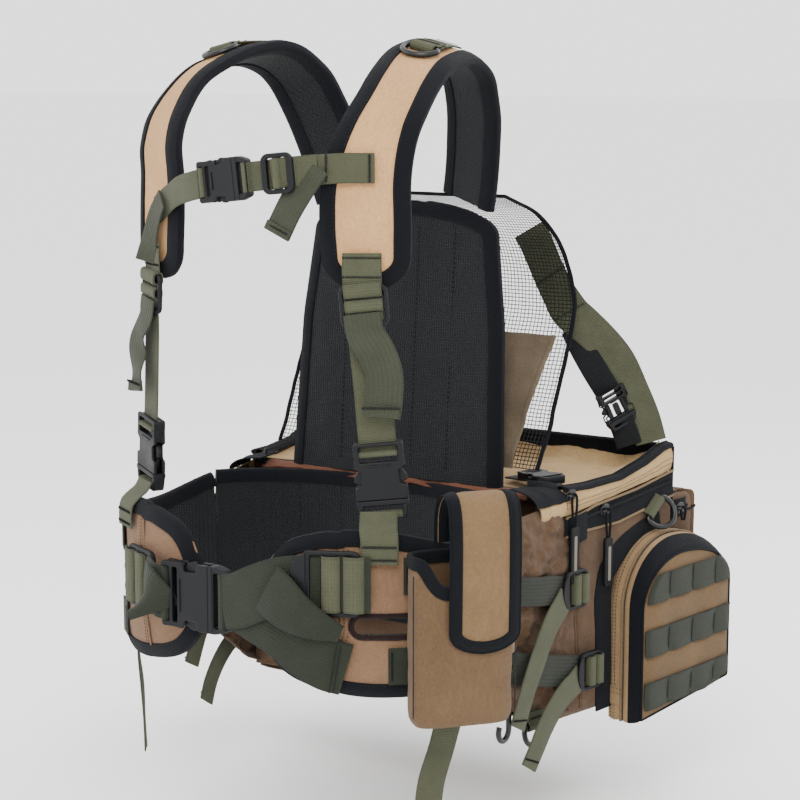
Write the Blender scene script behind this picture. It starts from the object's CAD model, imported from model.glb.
"""Looks of the binocular harness pack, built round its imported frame.

Working sizes are millimetres in the frame's axes: +Z up, -Y the wearer's front, +X the wearer's left.
"""
import math

import bmesh
import bpy
import numpy as np
from mathutils import Matrix, Vector, noise


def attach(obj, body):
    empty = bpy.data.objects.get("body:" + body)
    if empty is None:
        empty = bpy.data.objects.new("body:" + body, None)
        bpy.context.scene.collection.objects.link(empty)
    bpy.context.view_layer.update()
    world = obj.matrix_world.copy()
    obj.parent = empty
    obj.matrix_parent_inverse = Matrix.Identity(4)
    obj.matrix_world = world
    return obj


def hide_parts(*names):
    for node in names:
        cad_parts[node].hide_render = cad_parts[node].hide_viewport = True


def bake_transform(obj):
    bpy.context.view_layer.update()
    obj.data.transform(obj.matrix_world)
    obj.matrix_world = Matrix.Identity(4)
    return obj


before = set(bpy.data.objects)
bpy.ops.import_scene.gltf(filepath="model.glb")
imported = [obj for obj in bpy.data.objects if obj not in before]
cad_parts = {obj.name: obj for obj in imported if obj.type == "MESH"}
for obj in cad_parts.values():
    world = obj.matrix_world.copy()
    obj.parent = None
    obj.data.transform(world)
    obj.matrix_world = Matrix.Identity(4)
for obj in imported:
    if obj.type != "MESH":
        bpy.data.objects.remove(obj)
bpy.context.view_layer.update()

MM = 0.001
ROOT = "harness"
PACK_MIDDLE = (0, 200, 0)

# ------------------------------------------------------------------ node materials


def new_material(name, rough, sheen=0.0):
    """A material with a Principled shader whose even values are set on its own sockets."""
    material = bpy.data.materials.new(name)
    material.use_nodes = True
    shader = material.node_tree.nodes["Principled BSDF"]
    shader.inputs["Roughness"].default_value = rough
    shader.inputs["Sheen Weight"].default_value = sheen
    shader.inputs["Sheen Roughness"].default_value = 0.5
    shader.inputs["Specular IOR Level"].default_value = 0.16
    return material, material.node_tree, shader


def math_node(tree, operation, first, second=None):
    """A Math node; its operands are sockets or numbers."""
    node = tree.nodes.new("ShaderNodeMath")
    node.operation = operation
    for number, value in enumerate((first, second)):
        if value is None:
            continue
        if isinstance(value, (int, float)):
            node.inputs[number].default_value = value
        else:
            tree.links.new(value, node.inputs[number])
    return node.outputs[0]


def noise_node(tree, coordinates, scale, detail=3.0):
    """Noise between 0 and 1; scale is the number of cells in a metre."""
    node = tree.nodes.new("ShaderNodeTexNoise")
    node.inputs["Scale"].default_value = scale
    node.inputs["Detail"].default_value = detail
    tree.links.new(coordinates, node.inputs["Vector"])
    return node.outputs["Fac"]


def times(tree, value, factor):
    """The product of a socket and a number or socket."""
    return math_node(tree, "MULTIPLY", value, factor)


def swing(tree, noise_value, amount):
    """Noise between 0 and 1 as a shade that swings about zero."""
    return times(tree, math_node(tree, "SUBTRACT", noise_value, 0.5), amount)


def total(tree, *terms):
    """The sum of sockets and numbers."""
    result = terms[0]
    for term in terms[1:]:
        result = math_node(tree, "ADD", result, term)
    return result


def linear(colour):
    """An 8-bit display colour as linear values."""
    values = []
    for part in colour:
        part = part / 255.0
        values.append(part / 12.92 if part <= 0.04045 else ((part + 0.055) / 1.055) ** 2.4)
    return values


def tint(tree, shader, colour, shade):
    """Multiply a base colour by a grey shade that varies over the surface."""
    mix = tree.nodes.new("ShaderNodeVectorMath")
    mix.operation = "SCALE"
    mix.inputs[0].default_value = linear(colour)
    tree.links.new(shade, mix.inputs["Scale"])
    tree.links.new(mix.outputs[0], shader.inputs["Base Color"])


def bump(tree, shader, height, distance, strength=0.6):
    """Relief of this depth in metres, from a height of about 0 to 1."""
    node = tree.nodes.new("ShaderNodeBump")
    node.inputs["Strength"].default_value = strength
    node.inputs["Distance"].default_value = distance
    tree.links.new(height, node.inputs["Height"])
    tree.links.new(node.outputs[0], shader.inputs["Normal"])


def weave_height(tree, coordinates, pitch):
    """A plain weave's bumps: products of sines, which look woven on a surface at any angle."""
    split = tree.nodes.new("ShaderNodeSeparateXYZ")
    tree.links.new(coordinates, split.inputs[0])
    waves = []
    for axis in range(3):
        angle = times(tree, split.outputs[axis], 2 * math.pi / (pitch * MM))
        waves.append(math_node(tree, "SINE", angle))
    return total(tree, *[times(tree, waves[axis], waves[(axis + 1) % 3]) for axis in range(3)])


def cloth(name, colour, pitch=1.3, mottle=0.16, depth=0.35, rough=0.88, sheen=0.06):
    """Coated nylon: a plain weave, with blotches and a paler, uneven hand."""
    material, tree, shader = new_material(name, rough, sheen)
    place = tree.nodes.new("ShaderNodeTexCoord").outputs["Object"]
    weave = weave_height(tree, place, pitch)
    patches = noise_node(tree, place, 22.0)
    slubs = noise_node(tree, place, 420.0, 2.0)
    shade = total(tree, swing(tree, patches, 2.2 * mottle), times(tree, weave, 0.05),
                  swing(tree, slubs, 0.5), 1.0)
    tint(tree, shader, colour, shade)
    bump(tree, shader, total(tree, weave, slubs), depth * MM)
    return material


def ribbed(name, colour, rib=1.5, lines=14, lengthwise=0.25):
    """Nylon webbing. UV holds metres along and the share across; ribs cross it and its edges are rolled."""
    material, tree, shader = new_material(name, 0.78, 0.05)
    split = tree.nodes.new("ShaderNodeSeparateXYZ")
    coordinates = tree.nodes.new("ShaderNodeTexCoord")
    tree.links.new(coordinates.outputs["UV"], split.inputs[0])
    metres, share = split.outputs[0], split.outputs[1]
    lengths = math_node(tree, "SINE", times(tree, share, 2 * math.pi * lines))
    ribs = math_node(tree, "SINE", times(tree, metres, 2 * math.pi / (rib * MM)))
    height = total(tree, ribs, times(tree, lengths, lengthwise * 2))
    middle = math_node(tree, "ABSOLUTE", math_node(tree, "SUBTRACT", share, 0.5))
    selvedge = math_node(tree, "GREATER_THAN", middle, 0.455)
    patches = noise_node(tree, coordinates.outputs["Object"], 60.0)
    fuzz = noise_node(tree, coordinates.outputs["Object"], 900.0, 2.0)
    shade = total(tree, times(tree, height, 0.07), times(tree, selvedge, -0.16), swing(tree, patches, 0.4),
                  swing(tree, fuzz, 0.5), 1.0)
    tint(tree, shader, colour, shade)
    bump(tree, shader, height, 0.3 * MM)
    return material


def plastic(name, colour, rough=0.5, shine=0.2):
    """Moulded plastic with a fine spark texture and handling marks."""
    material, tree, shader = new_material(name, rough)
    shader.inputs["Specular IOR Level"].default_value = shine
    place = tree.nodes.new("ShaderNodeTexCoord").outputs["Object"]
    fine = noise_node(tree, place, 900.0)
    marks = noise_node(tree, place, 45.0, 6.0)
    tint(tree, shader, colour, total(tree, times(tree, marks, 0.5), 0.75))
    tree.links.new(total(tree, swing(tree, marks, 0.45), rough), shader.inputs["Roughness"])
    bump(tree, shader, fine, 0.12 * MM, 0.5)
    return material


PAD = cloth("pad_cloth", (178, 138, 95))
WING = cloth("wing_cloth", (112, 86, 65))
PACK = cloth("pack_cloth", (76, 57, 41), mottle=0.34)
POCKET = cloth("pocket_cloth", (91, 71, 47), mottle=0.22)
GUSSET = cloth("gusset_cloth", (130, 106, 76), mottle=0.22)
LID = cloth("lid_cloth", (157, 130, 91))
POUCH = cloth("pouch_cloth", (90, 70, 49), mottle=0.24)
FLAP = cloth("pouch_flap_cloth", (106, 84, 58))
HIDE = cloth("flap_cloth", (88, 76, 61), pitch=1.0, mottle=0.4)
SHELF = cloth("shelf_cloth", (90, 50, 30))
SPACER = cloth("spacer_cloth", (20, 22, 24), pitch=2.6, depth=0.8)
NAVY = cloth("binding", (4, 6, 12), pitch=1.1, mottle=0.1, rough=0.92, sheen=0.02)
RUST = cloth("slot_binding", (26, 12, 10), pitch=2.0, depth=0.6)
NET = plastic("net", (10, 11, 12), 0.7)
WEB = ribbed("webbing", (62, 64, 48))
BELT = ribbed("belt_webbing", (31, 35, 26))
GRID = ribbed("grid_webbing", (33, 37, 28), rib=1.1)
TAIL = ribbed("tail_webbing", (47, 50, 39), rib=1.3, lines=8, lengthwise=0.5)
SQUEEZE = ribbed("compression_webbing", (30, 33, 25), rib=1.3, lines=8, lengthwise=0.6)
DARK_WEB = ribbed("dark_webbing", (8, 10, 12))
THREAD = cloth("thread", (22, 14, 10), pitch=0.5, mottle=0.1)
BLACK_THREAD = cloth("black_thread", (6, 6, 7), pitch=0.5, mottle=0.1)
PLASTIC = plastic("buckle_plastic", (9, 10, 13))
METAL = plastic("painted_wire", (12, 13, 14), 0.36, shine=0.35)
SLIDER = plastic("painted_slider", (9, 10, 12), 0.38, shine=0.35)
PULL = plastic("pull_rubber", (5, 6, 8), 0.6)
PRINT = plastic("pull_inset", (96, 92, 84), 0.6)
PIPING = cloth("tan_piping", (104, 86, 62), pitch=0.9)

# ------------------------------------------------------------------ geometry helpers


def unit(rows):
    """Vectors at unit length."""
    rows = np.asarray(rows, float)
    length = np.linalg.norm(rows, axis=-1, keepdims=True)
    return rows / np.maximum(length, 1e-9)


def distances(path):
    """How far along a polyline each of its points lies."""
    steps = np.linalg.norm(np.diff(np.asarray(path)[:, :3], axis=0), axis=1)
    return np.concatenate([[0.0], np.cumsum(steps)])


def grid_over(first, second):
    """Two grids of values; each way is (from, to, count)."""
    return np.meshgrid(np.linspace(*first), np.linspace(*second), indexing="ij")


def spline(rows, step=3.0, positions=None):
    """Smooth rows through hand-set ones, even along the curve of the first three columns."""
    rows = np.array(rows, float)
    at = distances(rows)
    if len(rows) == 2:
        slopes = np.repeat((rows[1:] - rows[:1]) / at[-1], 2, axis=0)
    else:
        slopes = np.gradient(rows, at, axis=0)
    if positions is None:
        count = max(2, int(round(at[-1] / step)) + 1)
        positions = np.linspace(0, at[-1], count)
    span = np.clip(np.searchsorted(at, positions, side="right") - 1, 0, len(at) - 2)
    width = (at[span + 1] - at[span])[:, None]
    share = ((positions - at[span])[:, None]) / width
    start, end = rows[span], rows[span + 1]
    leave, arrive = slopes[span] * width, slopes[span + 1] * width
    square, cube = share ** 2, share ** 3
    return ((2 * cube - 3 * square + 1) * start + (cube - 2 * square + share) * leave
            + (3 * square - 2 * cube) * end + (cube - square) * arrive)


def even(path, step, closed=False):
    """A polyline resampled at even spacing."""
    path = np.asarray(path, float)
    if closed:
        path = np.vstack([path, path[:1]])
    at = distances(path)
    count = max(3, int(round(at[-1] / step)) + 1)
    positions = np.linspace(0, at[-1], count)
    if closed:
        positions = positions[:-1]
    return np.stack([np.interp(positions, at, path[:, column]) for column in range(path.shape[1])], axis=1)


def piece(points, faces, material, uv=None, sharp=40.0, outward=True):
    """A mesh object from points in millimetres, smooth except at sharp edges."""
    mesh = bpy.data.meshes.new("part")
    mesh.from_pydata((np.asarray(points, float) * MM).tolist(), [], faces)
    if uv is not None:
        layer = mesh.uv_layers.new(name="UVMap")
        corner = np.zeros(len(mesh.loops), int)
        mesh.loops.foreach_get("vertex_index", corner)
        layer.data.foreach_set("uv", np.asarray(uv, float)[corner].astype(np.float32).ravel())
    mesh.materials.append(material)
    thing = bpy.data.objects.new("part", mesh)
    bpy.context.scene.collection.objects.link(thing)
    if outward:
        work = bmesh.new()
        work.from_mesh(mesh)
        bmesh.ops.recalc_face_normals(work, faces=work.faces)
        work.to_mesh(mesh)
        work.free()
    mesh.shade_smooth()
    mesh.set_sharp_from_angle(angle=math.radians(sharp))
    return thing


def lattice(rows, columns, around=False, along=False):
    """Quads of a grid of points; either way may close on itself."""
    faces = []
    for row in range(rows if along else rows - 1):
        for column in range(columns if around else columns - 1):
            first, second = row * columns, ((row + 1) % rows) * columns
            following = (column + 1) % columns
            faces.append((first + column, first + following, second + following, second + column))
    return faces


def end_caps(rows, columns):
    """The first and last rows of a lattice as faces."""
    return [tuple(range(columns)), tuple((rows - 1) * columns + number for number in range(columns))]


def uv_rows(along, across):
    """Metres along and the share across, for each point of a lattice."""
    return np.stack(np.meshgrid(along, across, indexing="ij"), axis=-1).reshape(-1, 2)


def sheet_piece(points, material, thickness=1.2, uv=None, inward=None):
    """A grid of points (rows, columns, 3) given thickness, away from the side that the normals face."""
    rows, columns = points.shape[:2]
    normals = grid_normals(points)
    if inward is not None:
        middle = points[rows // 2, columns // 2]
        if np.dot(normals[rows // 2, columns // 2], np.asarray(inward, float) - middle) > 0:
            normals = -normals
    back = points - normals * thickness
    both = np.concatenate([points.reshape(-1, 3), back.reshape(-1, 3)])
    count = rows * columns
    faces = lattice(rows, columns)
    faces += [tuple(count + corner for corner in reversed(face)) for face in lattice(rows, columns)]
    rim = list(range(columns))
    rim += [row * columns + columns - 1 for row in range(1, rows)]
    rim += [(rows - 1) * columns + column for column in range(columns - 2, -1, -1)]
    rim += [row * columns for row in range(rows - 2, 0, -1)]
    for first, second in zip(rim, rim[1:] + rim[:1]):
        faces.append((second, first, count + first, count + second))
    if uv is not None:
        uv = np.concatenate([uv, uv])
    return piece(both, faces, material, uv)


def grid_normals(points):
    """Unit normals of a grid of points."""
    down = np.gradient(points, axis=0)
    over = np.gradient(points, axis=1)
    return unit(np.cross(over, down))


def frames_along(path, normals, closed=False):
    """Unit along, side and up vectors at each point of a path with surface normals."""
    if closed:
        along = np.roll(path, -1, axis=0) - np.roll(path, 1, axis=0)
    else:
        along = np.gradient(path, axis=0)
    along = unit(along)
    up = np.broadcast_to(np.asarray(normals, float), path.shape)
    up = unit(up - along * np.sum(up * along, axis=1, keepdims=True))
    return along, np.cross(along, up), up


def sweep(path, normals, section, material, closed=False):
    """A closed section of (side, up) points carried along a path."""
    path = np.asarray(path, float)
    _, side, up = frames_along(path, normals, closed)
    section = np.asarray(section, float)
    points = (path[:, None] + side[:, None] * section[None, :, :1] + up[:, None] * section[None, :, 1:])
    rows, columns = points.shape[:2]
    faces = lattice(rows, columns, around=True, along=closed)
    if not closed:
        faces += end_caps(rows, columns)
    at = distances(path) * MM
    uv = uv_rows(at, np.linspace(0, 1, columns))
    return piece(points.reshape(-1, 3), faces, material, uv)


def ring_section(radius, high=None, count=10):
    """An oval section for a sweep."""
    high = radius if high is None else high
    turns = [2 * math.pi * number / count for number in range(count)]
    return [(radius * math.cos(turn), high * math.sin(turn)) for turn in turns]


def rows_of(across, width, *rows):
    """Strap rows (point, across, width) from (x, y, z), plus across and width where they are unusual."""
    return [(row[:3], *(row[3:] + (across, width)[len(row) - 3:])) for row in rows]


def strap(line, material=WEB, thickness=1.7, step=3.0, curl=0.0):
    """Webbing along rows of (point, across, width); curl cups it across."""
    rows = spline([[*point, *across, width] for point, across, width in line], step)
    centre, across, width = rows[:, :3], rows[:, 3:6], rows[:, 6]
    along = unit(np.gradient(centre, axis=0))
    across = unit(across - along * np.sum(across * along, axis=1, keepdims=True))
    normal = np.cross(across, along)
    shares = np.array([-1, -0.97, -0.88, -0.6, -0.2, 0.2, 0.6, 0.88, 0.97, 1])
    rim = np.array([0.35, 0.8, 1, 0.9, 0.9, 0.9, 0.9, 1, 0.8, 0.35])
    flat = centre[:, None] + across[:, None] * (shares[None, :, None] * width[:, None, None] / 2)
    flat = flat + normal[:, None] * (curl * (shares[None, :, None] ** 2 - 0.4))
    lift = normal[:, None] * (rim[None, :, None] * thickness / 2)
    loop = np.concatenate([flat + lift, (flat - lift)[:, ::-1]], axis=1)
    faces = lattice(*loop.shape[:2], around=True) + end_caps(*loop.shape[:2])
    at = distances(centre) * MM
    share = (np.concatenate([shares, shares[::-1]]) + 1) / 2
    uv = uv_rows(at, share)
    return piece(loop.reshape(-1, 3), faces, material, uv, sharp=50)


def threads(path, normals, material=THREAD, pitch=3.4, length=2.5, radius=0.42, lift=0.1,
            crosswise=False):
    """A row of stitches, or of coil teeth laid crosswise, on a path along a surface."""
    path = even(np.asarray(path, float), pitch)
    if np.ndim(normals) == 2 and len(normals) != len(path):
        normals = np.asarray(normals)[np.linspace(0, len(normals) - 1, len(path)).astype(int)]
    along, side, up = frames_along(path, normals)
    if crosswise:
        along, side = side, along
    path = path + up * lift
    tip, side, up = along * (length / 2), side * radius, up * radius
    spots = [tip, -tip, side, up, -side, -up]
    points = np.stack([path + spot for spot in spots], axis=1).reshape(-1, 3)
    faces = []
    for number in range(len(path)):
        base = number * 6
        for turn in range(4):
            first, second = base + 2 + turn, base + 2 + (turn + 1) % 4
            faces += [(base, first, second), (base + 1, second, first)]
    return piece(points, faces, material, outward=False)


def bartack(line, out, length, radius, lift=0.1):
    """Dense zigzag stitches across a line."""
    return threads(line, out, BLACK_THREAD, 1.1, length, radius, lift, True)


def teeth(line, out, length, radius, lift):
    """The closed teeth of a zip."""
    return threads(line, out, PLASTIC, 2.0, length, radius, lift, True)


def join(name, parts):
    """One piece of several; each keeps its own material."""
    bpy.ops.object.select_all(action="DESELECT")
    for part in parts:
        part.select_set(True)
    bpy.context.view_layer.objects.active = parts[0]
    if len(parts) > 1:
        bpy.ops.object.join()
    parts[0].name = name
    parts[0].data.name = name
    return parts[0]


def settle(thing, nodes=(), body=ROOT):
    """Ride on a body, take a slot's finish and stand for the CAD nodes."""
    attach(thing, body)
    if nodes:
        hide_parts(*nodes)
    return thing


def assemble(name, parts, nodes=(), body=ROOT):
    """Several parts as one settled piece."""
    return settle(join(name, parts), nodes, body)


def mirrored(thing, name):
    """A copy for the wearer's other side."""
    twin = thing.copy()
    twin.data = thing.data.copy()
    twin.name = name
    bpy.context.scene.collection.objects.link(twin)
    twin.data.transform(Matrix.Scale(-1, 4, (1, 0, 0)))
    twin.data.flip_normals()
    return twin


def both(name, parts, slot, nodes=(), body=ROOT, shared=()):
    """A left piece and its mirror image; nodes and body may hold {side}.

    Shared nodes hold both sides, and the left piece stands for them.
    """
    left = join("left_" + name, parts)
    right = mirrored(left, "right_" + name)
    for side, thing in zip(("left", "right"), (left, right)):
        settle(thing, [node.format(side=side) for node in nodes], body.format(side=side))
    if shared:
        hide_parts(*shared)
    return left, right


def wrinkle(points, size, height, seed, stretch=(1, 1, 1)):
    """Noise heights at points: size is a fold's width, stretch lengthens folds along an axis."""
    shift = Vector((seed * 7.1, seed * 3.3, seed * 5.7))
    scale = [1 / (size * part) for part in stretch]
    flat = points.reshape(-1, 3)
    values = [noise.fractal(Vector([value * part for value, part in zip(row, scale)]) + shift, 0.9, 2.1, 3)
              for row in flat]
    return np.array(values).reshape(points.shape[:-1]) * height


def place_at(origin, along, out):
    """Local X across, Y along and Z out of a surface, as in the CAD source; millimetres."""
    along = unit(np.array(along, float))
    out = np.array(out, float)
    out = unit(out - along * np.dot(along, out))
    across = np.cross(along, out)
    matrix = Matrix.Identity(4)
    for row in range(3):
        matrix[row] = (across[row], along[row], out[row], origin[row])
    return matrix


def rounded(corners, radius, steps=5):
    """A polygon with its corners rounded by arcs; radius may be a list, one for each corner."""
    corners = [Vector(corner) for corner in corners]
    radii = radius if isinstance(radius, (list, tuple)) else [radius] * len(corners)
    points = []
    for number, corner in enumerate(corners):
        before = (corners[number - 1] - corner).normalized()
        after = (corners[(number + 1) % len(corners)] - corner).normalized()
        half = before.angle(after) / 2
        reach = radii[number] / math.tan(half)
        centre = corner + (before + after).normalized() * (radii[number] / math.sin(half))
        start, end = corner + before * reach - centre, corner + after * reach - centre
        for step in range(steps + 1):
            mixed = start.lerp(end, step / steps)
            points.append(centre + mixed.normalized() * radii[number])
    return points


def moulded(loops, depth, place, material=PLASTIC, bevel=0.8, lift=0.0):
    """A flat moulded piece: the first loop is its outline and the others are windows in it."""
    curve = bpy.data.curves.new("part", "CURVE")
    curve.dimensions = "2D"
    curve.fill_mode = "BOTH"
    curve.bevel_depth = bevel
    curve.bevel_resolution = 2
    curve.extrude = depth / 2 - bevel
    curve.offset = -bevel
    for loop in loops:
        line = curve.splines.new("POLY")
        line.points.add(len(loop) - 1)
        for spot, corner in zip(line.points, loop):
            spot.co = (corner[0], corner[1], 0, 1)
        line.use_cyclic_u = True
    holder = bpy.data.objects.new("part", curve)
    bpy.context.scene.collection.objects.link(holder)
    bpy.context.view_layer.update()
    mesh = bpy.data.meshes.new_from_object(holder)
    bpy.data.objects.remove(holder)
    mesh.transform(Matrix.Scale(MM, 4) @ place @ Matrix.Translation((0, 0, lift)))
    mesh.materials.clear()
    mesh.materials.append(material)
    mesh.shade_smooth()
    mesh.set_sharp_from_angle(angle=math.radians(35))
    thing = bpy.data.objects.new("part", mesh)
    bpy.context.scene.collection.objects.link(thing)
    return thing


def rectangle(width, height, radius, centre=(0, 0)):
    """A rounded rectangle about a centre."""
    x, y = centre
    ways = ((-1, -1), (1, -1), (1, 1), (-1, 1))
    return rounded([(x + across * width / 2, y + up * height / 2) for across, up in ways], radius)


def through(place, points):
    """Local millimetre points through a placement."""
    return [tuple(place @ Vector(point)) for point in points]


def turned(place, vector):
    """A local direction in the frame's axes."""
    return tuple(place.to_3x3() @ Vector(vector))


# ------------------------------------------------------------------ camera, light and floor


def aim(thing, place, target):
    """Put a lamp or camera at a place, facing a target."""
    thing.location = place
    thing.rotation_euler = (Vector(target) - Vector(place)).to_track_quat("-Z", "Y").to_euler()


def soft_light(name, place, target, width, power, colour=(1, 1, 1)):
    """A square area lamp of this width in metres and power in watts."""
    lamp = bpy.data.lights.new(name, "AREA")
    lamp.shape = "SQUARE"
    lamp.size = width
    lamp.energy = power
    lamp.color = colour
    holder = bpy.data.objects.new(name, lamp)
    bpy.context.scene.collection.objects.link(holder)
    aim(holder, place, target)


def studio():
    """A pale floor, a white surround, soft lamps and a camera ahead of the wearer's left shoulder."""
    camera = bpy.data.cameras.new("camera")
    camera.sensor_width = 36
    camera.lens = 92.25
    holder = bpy.data.objects.new("camera", camera)
    bpy.context.scene.collection.objects.link(holder)
    aim(holder, (1.064, -1.504, 0.452), (0.061, 0.040, 0.160))
    bpy.context.scene.camera = holder
    world = bpy.data.worlds.new("surround")
    world.use_nodes = True
    world.node_tree.nodes["Background"].inputs["Color"].default_value = (1, 1, 1, 1)
    world.node_tree.nodes["Background"].inputs["Strength"].default_value = 2.1
    bpy.context.scene.world = world
    middle = (0, 0.05, 0.12)
    soft_light("key", (0.9, -1.3, 1.5), middle, 1.0, 40, (1, 0.98, 0.95))
    soft_light("fill", (-1.4, -0.9, 0.7), middle, 1.4, 12)
    soft_light("rim", (0.7, 1.5, 1.2), middle, 1.0, 18)
    pale, tree, shader = new_material("floor", 0.9)
    place = tree.nodes.new("ShaderNodeTexCoord").outputs["Object"]
    grain = noise_node(tree, place, 300.0)
    tint(tree, shader, (246, 246, 246), total(tree, times(tree, grain, 0.02), 0.99))
    corners = [(x * 60000, y * 60000, -255) for x, y in ((-1, -1), (1, -1), (1, 1), (-1, 1))]
    floor = piece(corners, [(0, 1, 2, 3)], pale)
    floor.name = "floor"


# ------------------------------------------------------------------ bound foam panels


EDGE_DROP, EDGE_REACH = 2.0, 9.0


def clustered(whole, reaches, step):
    """Positions along a panel, closer together where its ends are rounded."""
    low, high = reaches
    turns = np.linspace(0, 1, 13)[:-1] * math.pi / 2
    start = list(low * (1 - np.cos(turns)) + 0.05) if low else []
    end = list(whole - high * (1 - np.cos(turns[::-1])) - 0.05) if high else []
    count = max(4, int((whole - low - high) / step))
    return np.array(start + list(np.linspace(low, whole - high, count)) + end)


def rise_at(distance, crown):
    """Height of a bound panel's face at a distance from its edge, where it is pinched below the middle."""
    return (crown + EDGE_DROP) * (1 - np.exp(-np.maximum(distance, 0) / EDGE_REACH)) - EDGE_DROP


def bound_panel(stations, thick, crown, seed, material, lining=SPACER, reaches=(0, 0), rim=11.0,
                fold=1.0, step=4.0, columns=25, trim=NAVY):
    """Face, lining and folded binding of a foam panel with stations (centre, across, normal, width)."""
    rows = np.array([[*centre, *across, *normal, width] for centre, across, normal, width in stations],
                    float)
    rows = spline(rows, positions=clustered(distances(rows)[-1], reaches, step))
    centre, width = rows[:, :3], rows[:, 9].copy()
    along = unit(np.gradient(centre, axis=0))
    across = unit(rows[:, 3:6] - along * np.sum(rows[:, 3:6] * along, axis=1, keepdims=True))
    normal = unit(np.cross(across, along))
    normal = normal * np.sign(np.sum(normal * rows[:, 6:9], axis=1, keepdims=True))
    at = distances(centre)
    for reach, position in zip(reaches, (at, at[-1] - at)):
        if reach:
            width *= np.sqrt(np.maximum(1 - np.clip(1 - position / reach, 0, 1) ** 2, 0.02))
    shares = np.sin(np.linspace(-1, 1, columns) * math.pi / 2)
    flat = np.stack(np.broadcast_arrays(at[:, None], shares[None, :] * width[:, None] / 2), axis=-1)
    edge = np.concatenate([np.stack([at, -width / 2], axis=1), np.stack([at, width / 2], axis=1)[::-1]])
    dense = even(edge, 1.5)
    if not (reaches[0] or reaches[1]):
        dense = np.concatenate([even(edge[:len(at)], 1.5), even(edge[len(at):], 1.5)])
    distance = np.min(np.linalg.norm(flat[:, :, None, :] - dense[None, None], axis=-1), axis=2)
    base = centre[:, None] + across[:, None] * flat[:, :, 1:]
    near = np.clip((distance - 0.7 * rim) / rim, 0, 1)
    crease = near * (wrinkle(base, 26.0, fold, seed) + wrinkle(base, 9.0, 0.35 * fold, seed + 5))
    face = base + normal[:, None] * (rise_at(distance, crown) + crease)[..., None]
    back = base - normal[:, None] * (thick + 0.6 * rise_at(distance, crown))[..., None]
    parts = [sheet_piece(face, material, 0.45 * thick, inward=back[len(at) // 2, columns // 2]),
             sheet_piece(back, lining, 0.4 * thick, inward=face[len(at) // 2, columns // 2])]
    left, right = base[:, 0], base[:, -1]
    closed = bool(reaches[0] and reaches[1])
    if reaches[0] and not reaches[1]:
        path, up = np.concatenate([left[::-1], right]), np.concatenate([normal[::-1], normal])
    else:
        path, up = np.concatenate([left, right[::-1]]), np.concatenate([normal, normal[::-1]])
    runs = [(path, up, closed)]
    if not (reaches[0] or reaches[1]):
        runs = [(left, normal, False), (right[::-1], normal[::-1], False)]
    for line, lifts, loop in runs:
        both_rows = even(np.concatenate([line, lifts], axis=1), 3.0, loop)
        line, lifts = both_rows[:, :3], unit(both_rows[:, 3:])
        _, side, _ = frames_along(line, lifts, loop)
        middle = len(line) // 4
        towards = centre[np.argmin(np.linalg.norm(centre - line[middle], axis=1))] - line[middle]
        inward_sign = 1 if np.dot(side[middle], towards) > 0 else -1
        depths = [rim, rim - 0.5, 0.6 * rim, 0.3 * rim, 0.0]
        top = [(inward_sign * depth, rise_at(depth, crown) + lift) for depth, lift in
               zip(depths, (0.5, 1.5, 2.0, 2.0, 1.6))]
        low = [(inward_sign * depth, -thick - 0.6 * rise_at(depth, crown) - lift) for depth, lift in
               zip(depths[::-1], (1.4, 1.6, 1.6, 1.2, 0.4))]
        nose = [(-inward_sign * 2.1, -1.6), (-inward_sign * 2.7, -thick / 2),
                (-inward_sign * 2.1, 1.6 - thick)]
        parts.append(sweep(line, lifts, top + nose + low, trim, loop))
        stitch = line + side * inward_sign * (rim - 1.6) + lifts * (rise_at(rim - 1.6, crown) + 1.5)
        parts.append(threads(stitch, lifts, BLACK_THREAD))
    return parts


# ------------------------------------------------------------------ moulded fittings


def band_loop(place, width, middle, half_y, half_z, material=WEB, lift=0.0):
    """Webbing wrapped round a bar that lies along local X, seen as an oval sleeve."""
    turns = np.linspace(0, 2 * math.pi, 29)[:-1]
    thickness = 1.7
    points = []
    for turn in turns:
        round_y, round_z = (math.copysign(abs(wave) ** 0.7,
                                          wave) for wave in (math.cos(turn), math.sin(turn)))
        for side, out in ((-1, 0), (1, 0), (1, -thickness), (-1, -thickness)):
            points.append((side * width / 2, middle + (half_y + out) * round_y,
                           lift + (half_z + out) * round_z))
    at = np.linspace(0, 2 * (half_y + half_z) * 1.4, len(turns)) * MM
    uv = uv_rows(at, [0.0, 1.0, 1.0, 0.0])
    faces = lattice(len(turns), 4, around=True, along=True)
    return piece(through(place, points), faces, material, uv, sharp=50)


def ladder(place, web, wraps=True, tongue=True):
    """A ladder lock for webbing of this width: rounded frame, bars, half-moon tongue and webbing wraps."""
    rim, half = 4.0, 0.45 * web + 4.0
    outline = rectangle(web + 2 * rim + 1, 2 * half, 7)
    slots = [rectangle(web + 1, 0.28 * web, 2, (0, share * web)) for share in (-0.24, 0.24)]
    parts = [moulded([outline] + slots, 4.2, place, bevel=1.2)]
    if wraps:
        for middle, half_y, half_z in ((0.0, 0.17, 4.6), (0.41, 0.19, 5.0)):
            parts.append(band_loop(place, web, middle * web, half_y * web, half_z, lift=0.6))
    if tongue:
        moon = [(0.5 * (web + rim) * math.cos(turn), -(half - 4 + 0.30 * web * math.sin(turn)))
                for turn in np.linspace(0, math.pi, 15)]
        parts.append(moulded([moon], 2.6, place, bevel=0.9, lift=2.2))
    return parts


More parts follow.
